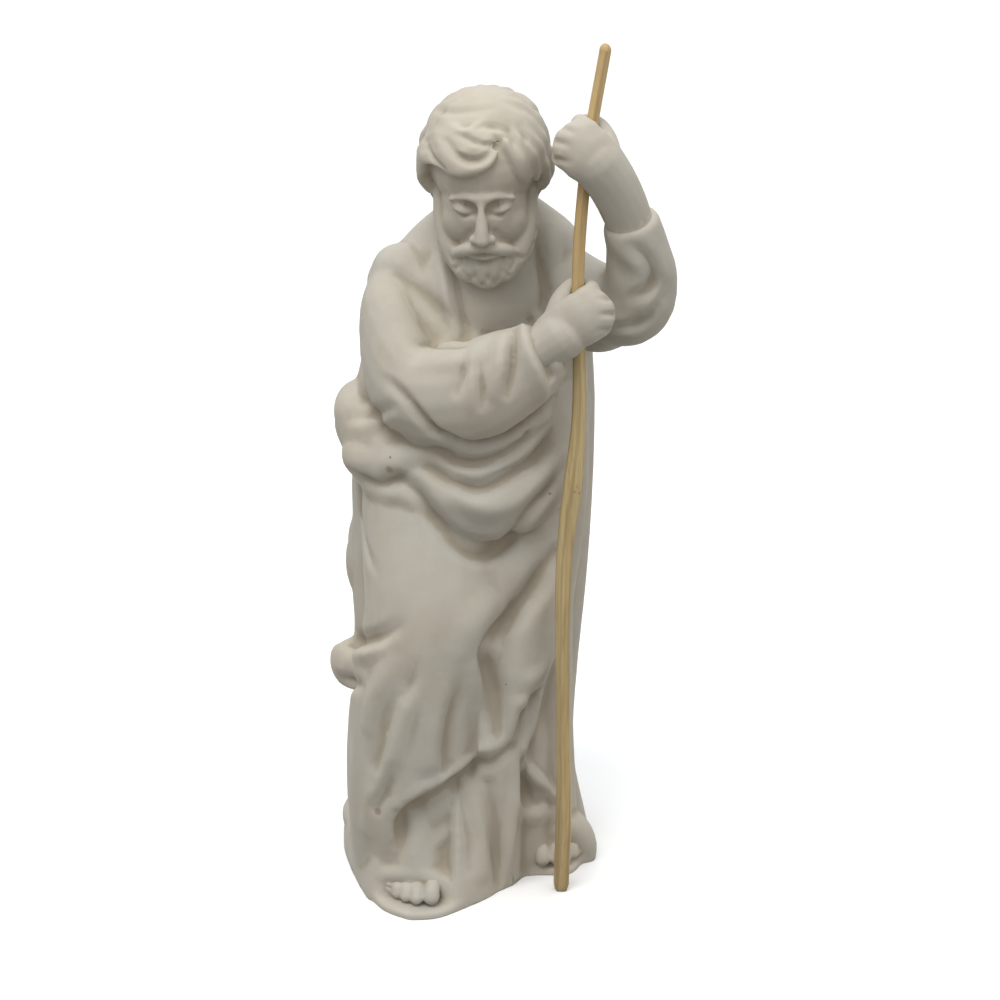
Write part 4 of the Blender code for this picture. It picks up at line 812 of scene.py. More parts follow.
def mantle_clay():
    return [
        column([(BELOW_GROUND, -39, 36, -14, 35), (30, -37, 32.4, -17, 31), (60, -35.8, 33.2, -19, 30),
                (90, -36.4, 35.3, -22, 30), (120, -35.8, 36.8, -24, 30), (145, -35, 37, -23, 29),
                (162, -31.5, 36, -20, 27), (176, -28, 34.5, -18, 24), (188, -24.5, 33, -14, 20),
                (198, -17, 31, -11, 15), (205, -9, 23, -8, 10), (211, 0, 15, -6, 5)]),
        limb([(-12, -4, 132), (-11, -16, 104), (-11, -21, 88), (-15, -21, 62), (-17.5, -20.5, 32),
              (-19, -14, BELOW_GROUND)], [21, 21, 20.5, 20.5, 20, 18]),
        ball((10, -14, 103), (16, 13.5, 20)),
        limb([(17, -10, 118), (19, -14, 100), (16.5, -18, 84), (12, -20.5, 68), (9, -21, 52)],
             [12, 11.5, 11.5, 11.5, 11]),
    ]


def torso_clay():
    return [
        ball((-17, 1, 182.5), (13, 13, 11.5)),
        ball((23, 3, 190), (9.5, 11, 11)),
        ball((3, -5, 180), (22, 15, 19)),
        ball((3, 8, 184), (25, 13, 20)),
        limb([(5, 2, 194), (4.5, -4, 202)], [12, 10.5]),
    ]


def sleeve_clay():
    return [
        limb([(-19, 0, 183), (-22.5, -12, 173), (-16, -23, 158), (0, -29.5, 159), (13, -33, 166.5),
              (21.4, -34, 172.6)],
             [12, 12.2, 14.3, 15, 12.4, 9.0], flat=0.76, end=0.2),
        limb([(-24, -13, 156), (-6, -26, 149), (12, -30.5, 154), (18.6, -31.6, 160)], [9, 9.2, 8.6, 6.6],
             flat=0.7),
        limb([(-20, -4, 187), (-14, -8, 181), (-7.5, -12.5, 173), (0, -15, 167)], [8.5, 8.5, 8.5, 8]),
        ball((-12, -14, 168), (11, 9, 8)),
        ball((-5, -19, 166.5), (10, 7, 6.5)),
        limb([(23, 2, 187), (35, -9, 180.5), (44.3, -17, 180.5), (47.2, -21, 188), (45.8, -24.6, 198.4),
              (43.4, -27.8, 206.6)],
             [9.5, 10.8, 11.6, 10.6, 8.8, 7.8], end=0.2),
        limb([(30, -4, 172), (38, -11, 173), (49, -19, 183)], [6, 7.6, 7]),
    ]


def sling_clay():
    return [
        limb([(-34, -4, 141), (-25, -18, 134), (-8, -25.5, 129), (10, -26.5, 127), (24, -21, 136),
              (31, -8, 148)],
             [9, 12, 13, 13, 11, 8], flat=0.56),
        limb([(-12, -20, 141), (4, -24, 140), (18, -22, 145), (25, -13, 152)], [10, 10, 9.5, 7], flat=0.8),
        ball((-27.5, -13, 143.5), (8.5, 8.5, 8.5)),
        ball((-32.5, -5, 146), (7.5, 12, 9)),
        ball((-31, -9, 143), (7.5, 9.8, 8.5)),
        ball((-28, -13, 135.5), (9.5, 11, 8.5)),
        ball((-34, 4, 97), (4.5, 9, 13)),
        limb([(-24, -20, 66), (-31, -11, 64.4), (-36.4, 0, 62.8)], [5, 7, 8.8], flat=0.8),
        ball((-37, 3, 8), (4.2, 8, 5)),
    ]


# The mantle's hem on the front drawing, from the ground at the left up to where it passes behind the
# staff; the corners at the right close the shape that is cut from the mantle
HEM = [
    (-24, 4), (-23, 19), (-22.4, 30), (-19.2, 34.7), (-11.3, 38.9), (-2.5, 44.7), (1.1, 49.2),
    (3.3, 50.7), (4.8, 48.6), (6.9, 48.9), (12.3, 53.9), (14.2, 61.5), (17.2, 66.5), (22.4, 70.6),
    (25.6, 79), (28, 92), (34, 110), (60, 110), (60, -30), (-24, -30),
]
HEM_CUT_FROM = 80
HEM_CUT_DEPTH = 84


def hem_cutter():
    """Prism along the lines of sight that takes the mantle away below its front hem."""
    near, far = [], []
    for across, up in HEM:
        start, direction = from_eye(across, up)
        slant = 1 / direction.dot(SIGHT)
        near.append(start + direction * slant * (EYE_DISTANCE - HEM_CUT_FROM))
        far.append(start + direction * slant * (EYE_DISTANCE - HEM_CUT_FROM + HEM_CUT_DEPTH))
    count = len(near)
    faces = [tuple(range(count)), tuple(reversed(range(count, 2 * count)))]
    for i in range(count):
        j = (i + 1) % count
        faces.append((i, i + count, j + count, j))
    return face_out(mesh_object("hem cutter", near + far, faces))


# Drapery, as it reads from each side. Positive heights are ridges, negative ones are valleys

FOLD_RELIEF = 1.15
FOLD_SPREAD = 1.25
CRISP_RELIEF = 1.75

CHEST_FOLDS = [
    # from the shoulder to the breast, where the sleeve meets the mantle, and the roll beside it
    (4.2, 0.4, [(-23.5, 194, -0.4), (-20.6, 192, -0.9), (-15, 188, -1.3), (-10, 183, -1.4),
                (-6.6, 178.8, -1.3), (-2.8, 174, -1.0), (0.5, 172, -0.4)]),
    (5, 0, [(-15.5, 195, 0.1), (-11.5, 189.5, 0.4), (-7.4, 183.5, 0.4), (-5, 179, 0.1)]),
    # neckline of the tunic on both sides
    (3.4, 0.5, [(-9.6, 200, 0.6), (-7.2, 191, 1.4), (-6, 184, 1.4), (-3.4, 176, 0.8)]),
    (3.4, 0, [(-7, 200, -0.8), (-4.4, 190, -1.6), (-3, 182, -1.8), (-0.6, 174, -1.0)]),
    (3.2, 0, [(19.6, 203, -0.5), (21.2, 194, -1.2), (22.2, 187, -1.3), (21.6, 180, -0.7)]),
    (4.4, 0, [(23.6, 206, 0.6), (25, 197, 1.6), (25.8, 187, 1.2)]),
    # armpit
    (2.8, 0.3, [(-16.5, 171.6, -0.4), (-12.5, 171.8, -1.2), (-8.9, 171.3, -1.8), (-5.2, 171.2, -1.8),
                (-1.6, 171, -0.6)]),
    (5, 0, [(-12, 167, 0.6), (-5, 167, 1.0), (0, 168, 0.4)]),
    (7, 0, [(-26, 187, 0.2), (-20, 182.6, 0.5), (-14, 178, 0.2)]),
]

SLEEVE_FOLDS = [
    # hanging pleats
    (3.2, 0, [(-1.9, 169, -0.3), (-2.4, 162, -0.9), (-4.2, 157.6, -0.4)]),
    (5, 0.4, [(1.6, 170, 0.3), (1.2, 161, 0.7), (0, 153, 0.3)]),
    (3.0, 0.4, [(2.7, 168, -0.2), (3.0, 161.5, -0.8), (3.8, 156.6, -0.9), (3.4, 153, -0.3)]),
    (5, -0.4, [(9.2, 173, 0.5), (8.6, 165, 1.0), (7.4, 157, 0.5)]),
    (2.8, -0.5, [(13.0, 176, -0.8), (12.4, 169, -1.6), (11.8, 161.7, -1.6), (10.6, 156, -0.5)]),
    # creases inside the raised arm's elbow
    (3.4, 0, [(48.6, 201, -0.3), (53.0, 195.8, -1.1), (55.0, 191.3, -1.2), (53.0, 187.4, -0.9),
              (48.3, 185, -0.3)]),
    (5.0, 0, [(44.5, 199, 0.2), (49.5, 193.5, 0.8), (50.5, 190, 0.7)]),
    (3.6, 0, [(57.5, 184.5, -0.3), (53, 178.5, -0.9), (46.5, 176, -0.8), (40, 176.2, -0.3)]),
    # the sleeve draws in to its sunk cuff band, then the turned edge
    (4.5, 0.6, [(15.8, 176.6, 0.6), (17.8, 170, 1.2), (19.8, 164.8, 1.3), (21.6, 160, 1.0),
                (22.6, 156.6, 0.5)]),
    (2.8, 0.3, [(18.4, 178, -0.6), (20.6, 171.4, -1.3), (22.8, 166, -1.4), (24.4, 161.6, -1.0)]),
    (2.6, 0, [(20.4, 180, 0.5), (22.8, 174, 0.9), (25.2, 169, 0.9), (26.6, 165.6, 0.5)]),
    # shade under the sleeve's lower edge
    (4.2, 0.6, [(-24, 160.8, -0.4), (-19.4, 156.2, -0.9), (-12.8, 148, -1.6), (-9, 144.8, -2.2),
                (-0.6, 141.8, -2.4), (8.6, 143.2, -2.4), (13.7, 145.6, -2.4), (21.5, 151.2, -2.4),
                (25.4, 155, -1.4)]),
]

SLING_FOLDS = [
    (3.2, 0, [(-2.4, 139.3, 0.6), (3, 139.2, 1.0), (9, 140.8, 1.0), (13.7, 143.2, 0.6)]),
    (3.4, -0.4, [(-10, 140.7, -0.4), (-6, 137, -1.2), (0, 135.6, -1.7), (3.2, 135.8, -1.8),
                 (9.2, 138, -1.6), (13.7, 140.8, -1.4), (18.4, 145.4, -1.2), (22.9, 150, -0.8)]),
    (3.6, 0.3, [(-3.6, 132.9, 0.8), (3.2, 133.4, 1.6), (9.2, 135.6, 1.7), (15.3, 140, 1.8),
                (19.9, 145, 1.6), (23.8, 150.4, 0.8)]),
    (5, 0, [(26, 148, -1.0), (23.6, 141.6, -2.0), (20.3, 136.4, -1.2)]),
    (3.8, -0.5, [(-17.5, 134.6, -0.6), (-13.1, 134.7, -1.8), (-8.3, 131.7, -2.6), (-3.7, 129.3, -2.6),
                 (0.9, 127.4, -2.4), (4.4, 127.8, -1.9), (7.7, 129.4, -1.6), (12.2, 132.4, -1.3),
                 (18.4, 136, -1.1), (21.5, 139.6, -0.8)]),
    (5, 0, [(-8, 127.6, 0.6), (-3, 125.4, 1.2), (2, 123.4, 1.7), (6.2, 122.8, 1.8), (12.2, 124.4, 1.6),
            (18.4, 128.6, 1.5), (24.4, 132.6, 1.0)]),
    # the swag's lower edge over the skirt
    (4.8, -0.4, [(-24.7, 130.4, -1.0), (-20.6, 129.4, -1.8), (-15.8, 126.4, -1.9), (-12.8, 122.4, -1.9),
                 (-9.8, 118.5, -1.9), (-6.9, 114.7, -1.9), (-3.4, 110.8, -2.0), (0.4, 108.6, -2.2),
                 (4.4, 107.9, -2.2), (7.6, 109, -2.2), (10.6, 111.4, -2.1), (13.6, 114.8, -2.0),
                 (17, 120, -2.0), (20.4, 124.4, -2.2), (23.2, 127.6, -2.2), (25.6, 131, -1.8),
                 (27.6, 134, -1.0)]),
    (5, 0, [(-12.5, 127.4, 0.6), (-8.5, 122.4, 1.0), (-4.8, 117, 0.8)]),
    # bundle at the hip
    (3.2, -0.3, [(-36, 149.2, -0.3), (-33.5, 149.6, -0.8), (-29.5, 150.2, -1.2), (-25.3, 151.4, -1.0),
                 (-22.6, 152.6, -0.3)]),
    (5, 0, [(-19.5, 146.5, -0.3), (-22.4, 143, -0.6), (-25.4, 139.4, -0.4)]),
    (3.8, 0.6, [(-36.5, 134, -0.8), (-34.7, 133, -1.2), (-31.1, 131.1, -1.6), (-27.4, 129.6, -1.8),
                (-25, 129.8, -1.8), (-22.1, 131.6, -1.3), (-18.6, 133.3, -0.5)]),
    (5, 0, [(-28, 136.4, 0.4), (-22, 137.6, 0.9), (-16.5, 137.4, 0.8)]),
]

SKIRT_FOLDS = [
    # the sweep from the staff down to the knee, and on to the hem
    (5.4, -0.4, [(25.3, 109.4, -1.6), (21.5, 104, -2.4), (18.4, 99.3, -2.8), (15.3, 94.8, -2.6),
                 (11, 89.6, -2.3), (7.2, 85.9, -2.0), (4.7, 82.5, -1.9), (3.9, 77.8, -1.8),
                 (5.7, 71.5, -1.6), (6.4, 65.3, -1.5), (6.8, 57, -0.8)]),
    (7, 0, [(21, 113, 0.4), (15, 104, 1.2), (9, 96, 1.4), (2, 88, 1.4), (-0.5, 81, 0.8)]),
    (6, 0, [(24, 100, 0.6), (18, 91, 1.4), (14, 83, 1.4), (12.6, 74, 0.8)]),
    (4.6, 0, [(1.1, 74.3, 0.8), (2.4, 65.3, 1.5), (3.8, 57.6, 2.0), (4.4, 52.6, 2.4)]),
    (4.4, -0.3, [(-3.6, 70, -0.4), (-5.5, 62, -1.4), (-6.7, 56, -1.8), (-7.3, 49.9, -2.0),
                 (-7, 44.6, -1.4)]),
    (5, 0, [(-9, 66, 0.3), (-10.6, 56, 1.0), (-11.4, 47, 1.0)]),
    (4.6, 0.4, [(-20.4, 72, -0.3), (-22.2, 65, -1.1), (-23.7, 60.5, -1.4), (-25.3, 55.4, -1.5),
                (-26.2, 51.4, -1.5), (-27.7, 46.8, -1.3), (-28.9, 41, -0.6)]),
    (6.5, 0.6, [(-16.6, 70, 0.3), (-19, 62.5, 1.0), (-21.2, 55, 1.2), (-23.4, 47, 1.1), (-25, 40, 0.5)]),
    (4, 0, [(-24.3, 77.2, 0.5), (-26.5, 71.2, 1.3), (-29.3, 64.5, 1.4), (-30.6, 58, 0.8)]),
    (3, 0, [(-16.1, 76, -0.4), (-17.6, 70.6, -1.2), (-19.4, 66.3, -0.7)]),
    (4, -0.3, [(-36, 82.6, -1.2), (-32.6, 82.7, -2.2), (-28.3, 83.3, -2.4), (-24.7, 84.9, -1.7),
               (-21.6, 87, -0.6)]),
    (3.6, 0, [(-36, 77.6, 0.8), (-32.6, 78.9, 1.4), (-29.5, 80.2, 1.4), (-26.6, 82, 1.0),
              (-23.6, 84.4, 0.5)]),
    (3.4, 0, [(-38.5, 71.5, -1.2), (-35.6, 70.6, -2.4), (-32.6, 70, -0.8)]),
    (3.4, 0, [(-22.9, 45, -0.5), (-24.7, 38.7, -1.5), (-28, 33, -0.8)]),
    (4, 0, [(-28.4, 42.3, 0.6), (-29.8, 35.8, 0.9), (-31, 26.8, 0.6)]),
    (3.2, -0.3, [(-32.6, 129.6, -0.5), (-32.8, 124.4, -1.0), (-32.4, 116.5, -1.1), (-30.8, 109.4, -1.0),
                 (-28.4, 104, -0.3)]),
    # the hem's turned lip and the corner beside it
    (3, -0.5, [(-21, 33.6, 0.5), (-15, 38, 0.7), (-8, 41.6, 0.7), (-2, 46.4, 0.9), (2.6, 51.6, 1.4)]),
    (3, 0, [(5.4, 50.8, 0.8), (9.4, 53, 0.9), (12.2, 58, 0.9), (13.6, 63.6, 0.8)]),
    (4, 0, [(14.8, 68, 0.3), (18.2, 71.2, 0.9), (21.4, 73.6, 0.9), (24.6, 79, 0.4)]),
]

TUNIC_FOLDS = [
    # hollow behind the hem's drop at the left, and the shade under the hem
    (4.2, -0.4, [(-20.4, 32.6, -0.8), (-20.2, 28, -1.6), (-20.6, 24, -1.4), (-22, 19, -0.5)]),
    (4, 0.6, [(-17, 33.6, -0.7), (-10, 37.4, -1.0), (-3.4, 42.2, -1.2), (1.6, 46.6, -1.2),
              (6.6, 47, -1.0), (12, 51.6, -0.7)]),
    (4.4, 0, [(-4.4, 41, -1.0), (-3.1, 37.2, -1.5), (-1.2, 29.5, -1.3), (0, 23, -1.0), (-0.6, 16, -0.5)]),
    (5, 0, [(2.2, 38, 0.8), (3.6, 27, 1.3), (4.2, 15, 0.9)]),
    (3.8, 0, [(5.2, 40, -1.0), (6.9, 29.5, -1.4), (7.7, 20, -1.3), (8.2, 11, -0.6)]),
    (3.4, 0.5, [(13.6, 48, 1.0), (13.4, 37, 1.6), (12.6, 28, 1.5), (11.6, 18.5, 1.2), (10.2, 11, 0.6)]),
    (4, 0, [(15.4, 42, -1.0), (16.7, 37.2, -1.8), (19.4, 34.6, -1.2)]),
    (2.8, 0, [(16, 65, 0.8), (15.7, 56, 1.2), (15.4, 48.6, 1.5), (17.9, 43.9, 2.0), (21.5, 40.2, 2.0),
              (25, 37.4, 1.4)]),
    (3.6, 0, [(13.8, 34.6, 0.3), (16.5, 31.2, 0.8), (21.5, 31.4, 0.8), (25, 32, 0.4)]),
]

# The raised left arm: its cuff and the creases of its sleeve
RAISED_ARM_FOLDS = [
    (6, 0.3, [(42.3, 197, -0.4), (46.5, 193.6, -0.9), (51, 190.9, -1.1), (59, 187.4, -0.6)]),
    (7, 0, [(43.2, 201.6, 0.3), (48, 198.4, 0.6), (53, 195.6, 0.7), (60.2, 192.7, 0.3)]),
    (6, 0, [(40.2, 184.8, -0.4), (47.7, 179.4, -0.7), (55, 177.6, -0.4)]),
]

# The right flank, level from azimuth -90: across runs from the back, minus, to the front, plus
RIGHT_FLANK_FOLDS = [
    (6, 0.3, [(2, 124, -0.8), (-5, 96, -2.2), (-3, 70, -1.6)]),
    (7, 0.3, [(-12, 138, -0.6), (-16, 100, -2.6), (-14, 55, -2.4), (-19, 8, -2.0)]),
    (7, -0.3, [(-22, 150, -0.4), (-25, 100, -2.0), (-23, 50, -2.4), (-26, 8, -2.0)]),
    (6, 0, [(-8, 118, 0.3), (-10, 84, 0.8), (-9, 46, 0.6), (-12, 12, 0.4)]),
    (5, 0, [(12, 55, -0.8), (2, 51, -2.2), (-8, 54, -0.8)]),
    (6, 0.3, [(15, 54, -0.8), (11, 38, -2.2), (13, 22, -1.6), (12, 10, -0.8)]),
    (6, 0, [(4, 46, -0.8), (0, 30, -2.0), (2, 12, -1.4)]),
    (6, 0, [(22, 74, 0.2), (19, 50, 0.7), (20, 28, 0.4)]),
    (6, 0, [(-8, 176, -0.6), (-12, 164, -1.8), (-8, 152, -1.0)]),
]

# The left flank, level from azimuth 90: across runs from the front, minus, to the back, plus
LEFT_FLANK_FOLDS = [
    (7, 0.3, [(-3, 166, -0.8), (-1, 120, -2.2), (-6, 60, -2.2), (-4, 8, -1.6)]),
    (7, -0.3, [(8, 172, -0.8), (11, 120, -2.6), (8, 60, -2.4), (11, 8, -2.0)]),
    (7, 0.3, [(18, 165, -0.6), (20, 110, -2.2), (18, 60, -2.2), (22, 8, -1.8)]),
    (6, 0, [(3, 164, 0.2), (5, 100, 0.6), (2, 30, 0.5)]),
    (6, 0, [(14, 160, 0.2), (15, 100, 0.6), (14, 30, 0.5)]),
    (5, 0, [(-13, 140, -0.6), (-12, 110, -1.8), (-15, 76, -1.0)]),
]


def back_folds():
    """Long gentle folds of the mantle behind, that gather to the left shoulder."""
    strokes = []
    for k, foot in enumerate((-30, -20, -9, 3, 14, 25, 33)):
        top = foot * 0.55 - 9 + 1.5 * (-1) ** k
        high = 176 - 9 * (k % 3)
        depth = -1.6 - 0.9 * (k % 2)
        strokes.append((7.5, 0.3 * (-1) ** k, [(top, high, -0.3),
                                               ((top + foot) / 2 - 2, high / 2 + 20, depth),
                                                (foot * 0.96, 46, depth * 1.25), (foot, 8, depth)]))
    strokes.append((8, 0, [(-30, 190, -0.4), (-12, 178, -1.8), (8, 158, -1.8), (24, 128, -0.6)]))
    strokes.append((8, 0, [(-26, 198, -0.4), (-6, 190, -1.4), (14, 174, -1.2)]))
    strokes.append((7, 0, [(-16, 203, -0.3), (-3, 197, -1.2), (10, 196, -0.3)]))
    return strokes


def make_body():
    mantle = fuse(gather("mantle", mantle_clay()), BODY_GRAIN)
    relax(mantle, CLOTH_SOFTNESS, BODY_GRAIN)
    combine(mantle, hem_cutter(), "DIFFERENCE")
    rest = tunic_clay() + torso_clay() + sleeve_clay() + sling_clay()
    body = gather("body", rest)
    add_mesh(body, mantle)
    fuse(body, BODY_GRAIN)
    relax(body, BODY_SOFTNESS, BODY_GRAIN)
    carve(body, CHEST_FOLDS)
    carve(body, SLEEVE_FOLDS, relief=CRISP_RELIEF)
    for folds in (SLING_FOLDS, SKIRT_FOLDS, TUNIC_FOLDS, RAISED_ARM_FOLDS):
        carve(body, folds, relief=FOLD_RELIEF, spread=FOLD_SPREAD)
    carve(body, RIGHT_FLANK_FOLDS, from_side(-90), FOLD_RELIEF, FOLD_SPREAD)
    carve(body, LEFT_FLANK_FOLDS, from_side(90), FOLD_RELIEF, FOLD_SPREAD)
    carve(body, back_folds(), from_side(180), FOLD_RELIEF, FOLD_SPREAD)
    relax(body, FOLD_SOFTNESS, BODY_GRAIN)
    thin_out(body, BODY_TRIANGLES)
    return body


# The block that takes everything below the ground away, and how far the channel runs past the staff
BLOCK_DEPTH = 40
BLOCK_REACH = 90
CHANNEL_OVERRUN = 8


def ground_cutter():
    spread = (-BLOCK_REACH, BLOCK_REACH)
    corners = [(x, y, z) for z in (-BLOCK_DEPTH, 0) for y in spread for x in spread]
    faces = [(0, 2, 3, 1), (4, 5, 7, 6), (0, 1, 5, 4), (2, 6, 7, 3), (0, 4, 6, 2), (1, 3, 7, 5)]
    return mesh_object("ground", corners, faces)


def channel_cutter():
    """The staff and the clearance round it, longer than the staff at both ends."""
    top = STAFF_LENGTH / UNIT + CHANNEL_OVERRUN
    return mesh_object("channel", *skin_rings(staff_rings(GRIP_CLEARANCE / UNIT, -CHANNEL_OVERRUN, top)))


def make_figure():
    figure = make_body()
    figure.name = "figure"
    combine(figure, make_head(), "UNION")
    for hand in HANDS:
        combine(figure, make_hand(*hand), "UNION")
    for foot in FEET:
        combine(figure, make_foot(*foot), "UNION")
    combine(figure, channel_cutter(), "DIFFERENCE")
    combine(figure, ground_cutter(), "DIFFERENCE")
    return figure


# Surface: how far the skin lies below its surroundings, kept on the mesh for the material's painted shade in
# hollows and creases

RELIEF_SCALES = ((6, 0.25), (40, 1.1))


def neighbour_mean(values, starts, ends, degree):
    out = np.empty_like(values)
    for k in range(values.shape[1]):
        total = np.bincount(starts, values[ends, k], len(values))
        total += np.bincount(ends, values[starts, k], len(values))
        out[:, k] = total / degree
    return out


def mark_relief(thing):
    """Stores fine and broad hollows for each point, as values above 0.5 in a hollow and below on a ridge."""
    mesh = thing.data
    count = len(mesh.vertices)
    points, normals = read_skin(mesh)
    edges = np.empty(len(mesh.edges) * 2, int)
    mesh.edges.foreach_get("vertices", edges)
    starts, ends = edges.reshape(-1, 2).T
    degree = np.maximum(np.bincount(starts, minlength=count) + np.bincount(ends, minlength=count), 1)
    smooth = points.copy()
    done = 0
    for name, (rounds, depth) in zip(("fine_relief", "broad_relief"), RELIEF_SCALES):
        for _ in range(rounds - done):
            smooth = neighbour_mean(smooth, starts, ends, degree)
        done = rounds
        hollow = ((smooth - points) * normals).sum(1) / (depth * UNIT)
        layer = mesh.attributes.new(name, "FLOAT", "POINT")
        layer.data.foreach_set("value", np.clip(0.5 + 0.5 * hollow, 0, 1).astype(np.float32))


# Materials


def node(tree, kind, **values):
    made = tree.nodes.new(kind)
    for name, value in values.items():
        setattr(made, name, value)
    return made


def ramp(tree, source, stops):
    """Colour ramp fed by a socket. Stops are (position, colour)."""
    made = node(tree, "ShaderNodeValToRGB")
    while len(made.color_ramp.elements) < len(stops):
        made.color_ramp.elements.new(0.5)
    for element, (position, colour) in zip(made.color_ramp.elements, stops):
        element.position = position
        element.color = (*colour, 1)
    tree.links.new(source, made.inputs["Fac"])
    return made.outputs["Color"]


def noise(tree, vector, scale, detail=2.0, roughness=0.5):
    made = node(tree, "ShaderNodeTexNoise")
    made.inputs["Scale"].default_value = scale
    made.inputs["Detail"].default_value = detail
    made.inputs["Roughness"].default_value = roughness
    tree.links.new(vector, made.inputs["Vector"])
    return made.outputs["Fac"]


def blend(tree, share, low, high, mode="MIX"):
    """Colour mix. Share is a number or a socket."""
    made = node(tree, "ShaderNodeMix", data_type="RGBA", blend_type=mode)
    for socket, value in (("Factor", share), ("A", low), ("B", high)):
        index = {"Factor": 0, "A": 6, "B": 7}[socket]
        if isinstance(value, bpy.types.NodeSocket):
            tree.links.new(value, made.inputs[index])
        elif socket == "Factor":
            made.inputs[index].default_value = value
        else:
            made.inputs[index].default_value = (*value, 1)
    return made.outputs[2]


def stretch(tree, source, low, high, to_low=0.0, to_high=1.0):
    """Maps low..high of a socket to to_low..to_high, clamped."""
    made = node(tree, "ShaderNodeMapRange")
    for name, value in (("From Min", low), ("From Max", high), ("To Min", to_low), ("To Max", to_high)):
        made.inputs[name].default_value = value
    tree.links.new(source, made.inputs["Value"])
    return made.outputs["Result"]


def bump(tree, height, depth, strength, normal=None):
    """Bump of a height socket. Depth is in metres."""
    made = node(tree, "ShaderNodeBump")
    made.inputs["Strength"].default_value = strength
    made.inputs["Distance"].default_value = depth
    tree.links.new(height, made.inputs["Height"])
    if normal is not None:
        tree.links.new(normal, made.inputs["Normal"])
    return made.outputs["Normal"]


def attribute(tree, name):
    made = node(tree, "ShaderNodeAttribute", attribute_name=name)
    return made.outputs["Fac"]


def new_material(name):
    material = bpy.data.materials.new(name)
    material.use_nodes = True
    tree = material.node_tree
    return material, tree, tree.nodes["Principled BSDF"]


PORCELAIN_PALE = (0.475, 0.432, 0.358)
# darker tone for the random mottle, and also painted shade laid into the broad hollows
PORCELAIN_MOTTLE_AND_SHADE = (0.375, 0.328, 0.252)
PORCELAIN_COOL = (0.440, 0.418, 0.368)
# painted shade for the narrow creases
PORCELAIN_CREASE_SHADE = (0.215, 0.178, 0.125)
PORCELAIN_STAIN = (0.250, 0.165, 0.095)
SPECK = (0.075, 0.060, 0.045)

# Marks of age on the front drawing: across, up, radius in units, colour
MARKS = [
    (-23.8, 137.7, 0.55, SPECK),
    (-24.1, 134.1, 1.5, PORCELAIN_STAIN),
    (23.8, 126.9, 0.5, SPECK),
    (10.7, 70.0, 0.35, SPECK),
    (28.5, 60.5, 0.35, SPECK),
    (-36.5, 105.2, 0.4, SPECK),
    (-27.4, 32.2, 1.5, PORCELAIN_STAIN),
]


def porcelain(figure):
    """Unglazed bisque: cool and warm patches, painted shade darkening the broad hollows and the narrow
    creases, and a fine dry grain.
    """
    material, tree, shader = new_material("porcelain")
    place = node(tree, "ShaderNodeTexCoord").outputs["Object"]
    patches = stretch(tree, noise(tree, place, 22, 3), 0.35, 0.65)
    colour = blend(tree, patches, PORCELAIN_COOL, PORCELAIN_PALE)
    mottle = stretch(tree, noise(tree, place, 140, 4, 0.6), 0.4, 0.75)
    colour = blend(tree, stretch(tree, mottle, 0, 1, 0, 0.35), colour, PORCELAIN_MOTTLE_AND_SHADE)
    # painted shade: the broad hollows are darkened towards the deeper tone by how far they lie below their
    # surroundings
    hollow = stretch(tree, attribute(tree, "broad_relief"), 0.5, 1.0)
    colour = blend(tree, stretch(tree, hollow, 0, 1, 0, 0.8), colour, PORCELAIN_MOTTLE_AND_SHADE)
    # painted shade: the narrow creases are darkened by how far they lie below their close surroundings
    crease = stretch(tree, attribute(tree, "fine_relief"), 0.6, 1.0)
    colour = blend(tree, stretch(tree, crease, 0, 1, 0, 0.3), colour, PORCELAIN_CREASE_SHADE)
    colour = add_marks(tree, place, colour, figure, MARKS)
    tree.links.new(colour, shader.inputs["Base Color"])
    tree.links.new(stretch(tree, noise(tree, place, 90, 3), 0.3, 0.7, 0.62, 0.78), shader.inputs["Roughness"])
    shader.inputs["Specular IOR Level"].default_value = 0.32
    shader.inputs["Subsurface Weight"].default_value = 0.06
    shader.inputs["Subsurface Radius"].default_value = (0.0012, 0.0009, 0.0006)
    normal = bump(tree, noise(tree, place, 260, 3), 0.00025, 0.35)
    normal = bump(tree, noise(tree, place, 2600, 2, 0.7), 0.00004, 0.5, normal)
    tree.links.new(normal, shader.inputs["Normal"])
    return material


def add_marks(tree, place, colour, thing, marks):
    """Lays each mark over the colour where its line of sight meets the thing."""
    skin = skin_tree(thing.data)
    for across, up, radius, tint in marks:
        start, direction = from_eye(across, up)
        spot, _, _, _ = skin.ray_cast(start * UNIT, direction)
        if spot is None:
            continue
        gap = node(tree, "ShaderNodeVectorMath", operation="DISTANCE")
        tree.links.new(place, gap.inputs[0])
        gap.inputs[1].default_value = spot
        share = stretch(tree, gap.outputs["Value"], radius * 0.45 * UNIT, radius * UNIT, 0.6, 0)
        colour = blend(tree, share, colour, tint)
    return colour


WOOD_PALE = (0.545, 0.435, 0.225)
WOOD_TAN = (0.385, 0.275, 0.125)
WOOD_WARM = (0.530, 0.345, 0.150)
WOOD_FAWN = (0.470, 0.335, 0.165)
WOOD_GRAIN = (0.190, 0.120, 0.050)

# The nick of a knot on the staff, on the front drawing: across, up, radius in units, colour
STAFF_MARKS = [
    (31.2, 127.4, 0.55, WOOD_GRAIN),
    (32.6, 127.0, 0.45, WOOD_GRAIN),
    (31.9, 129.0, 0.8, WOOD_TAN),
]

# The stick is warmer in colour from the upper of these heights on
WARM_HEIGHTS = (165, 200)


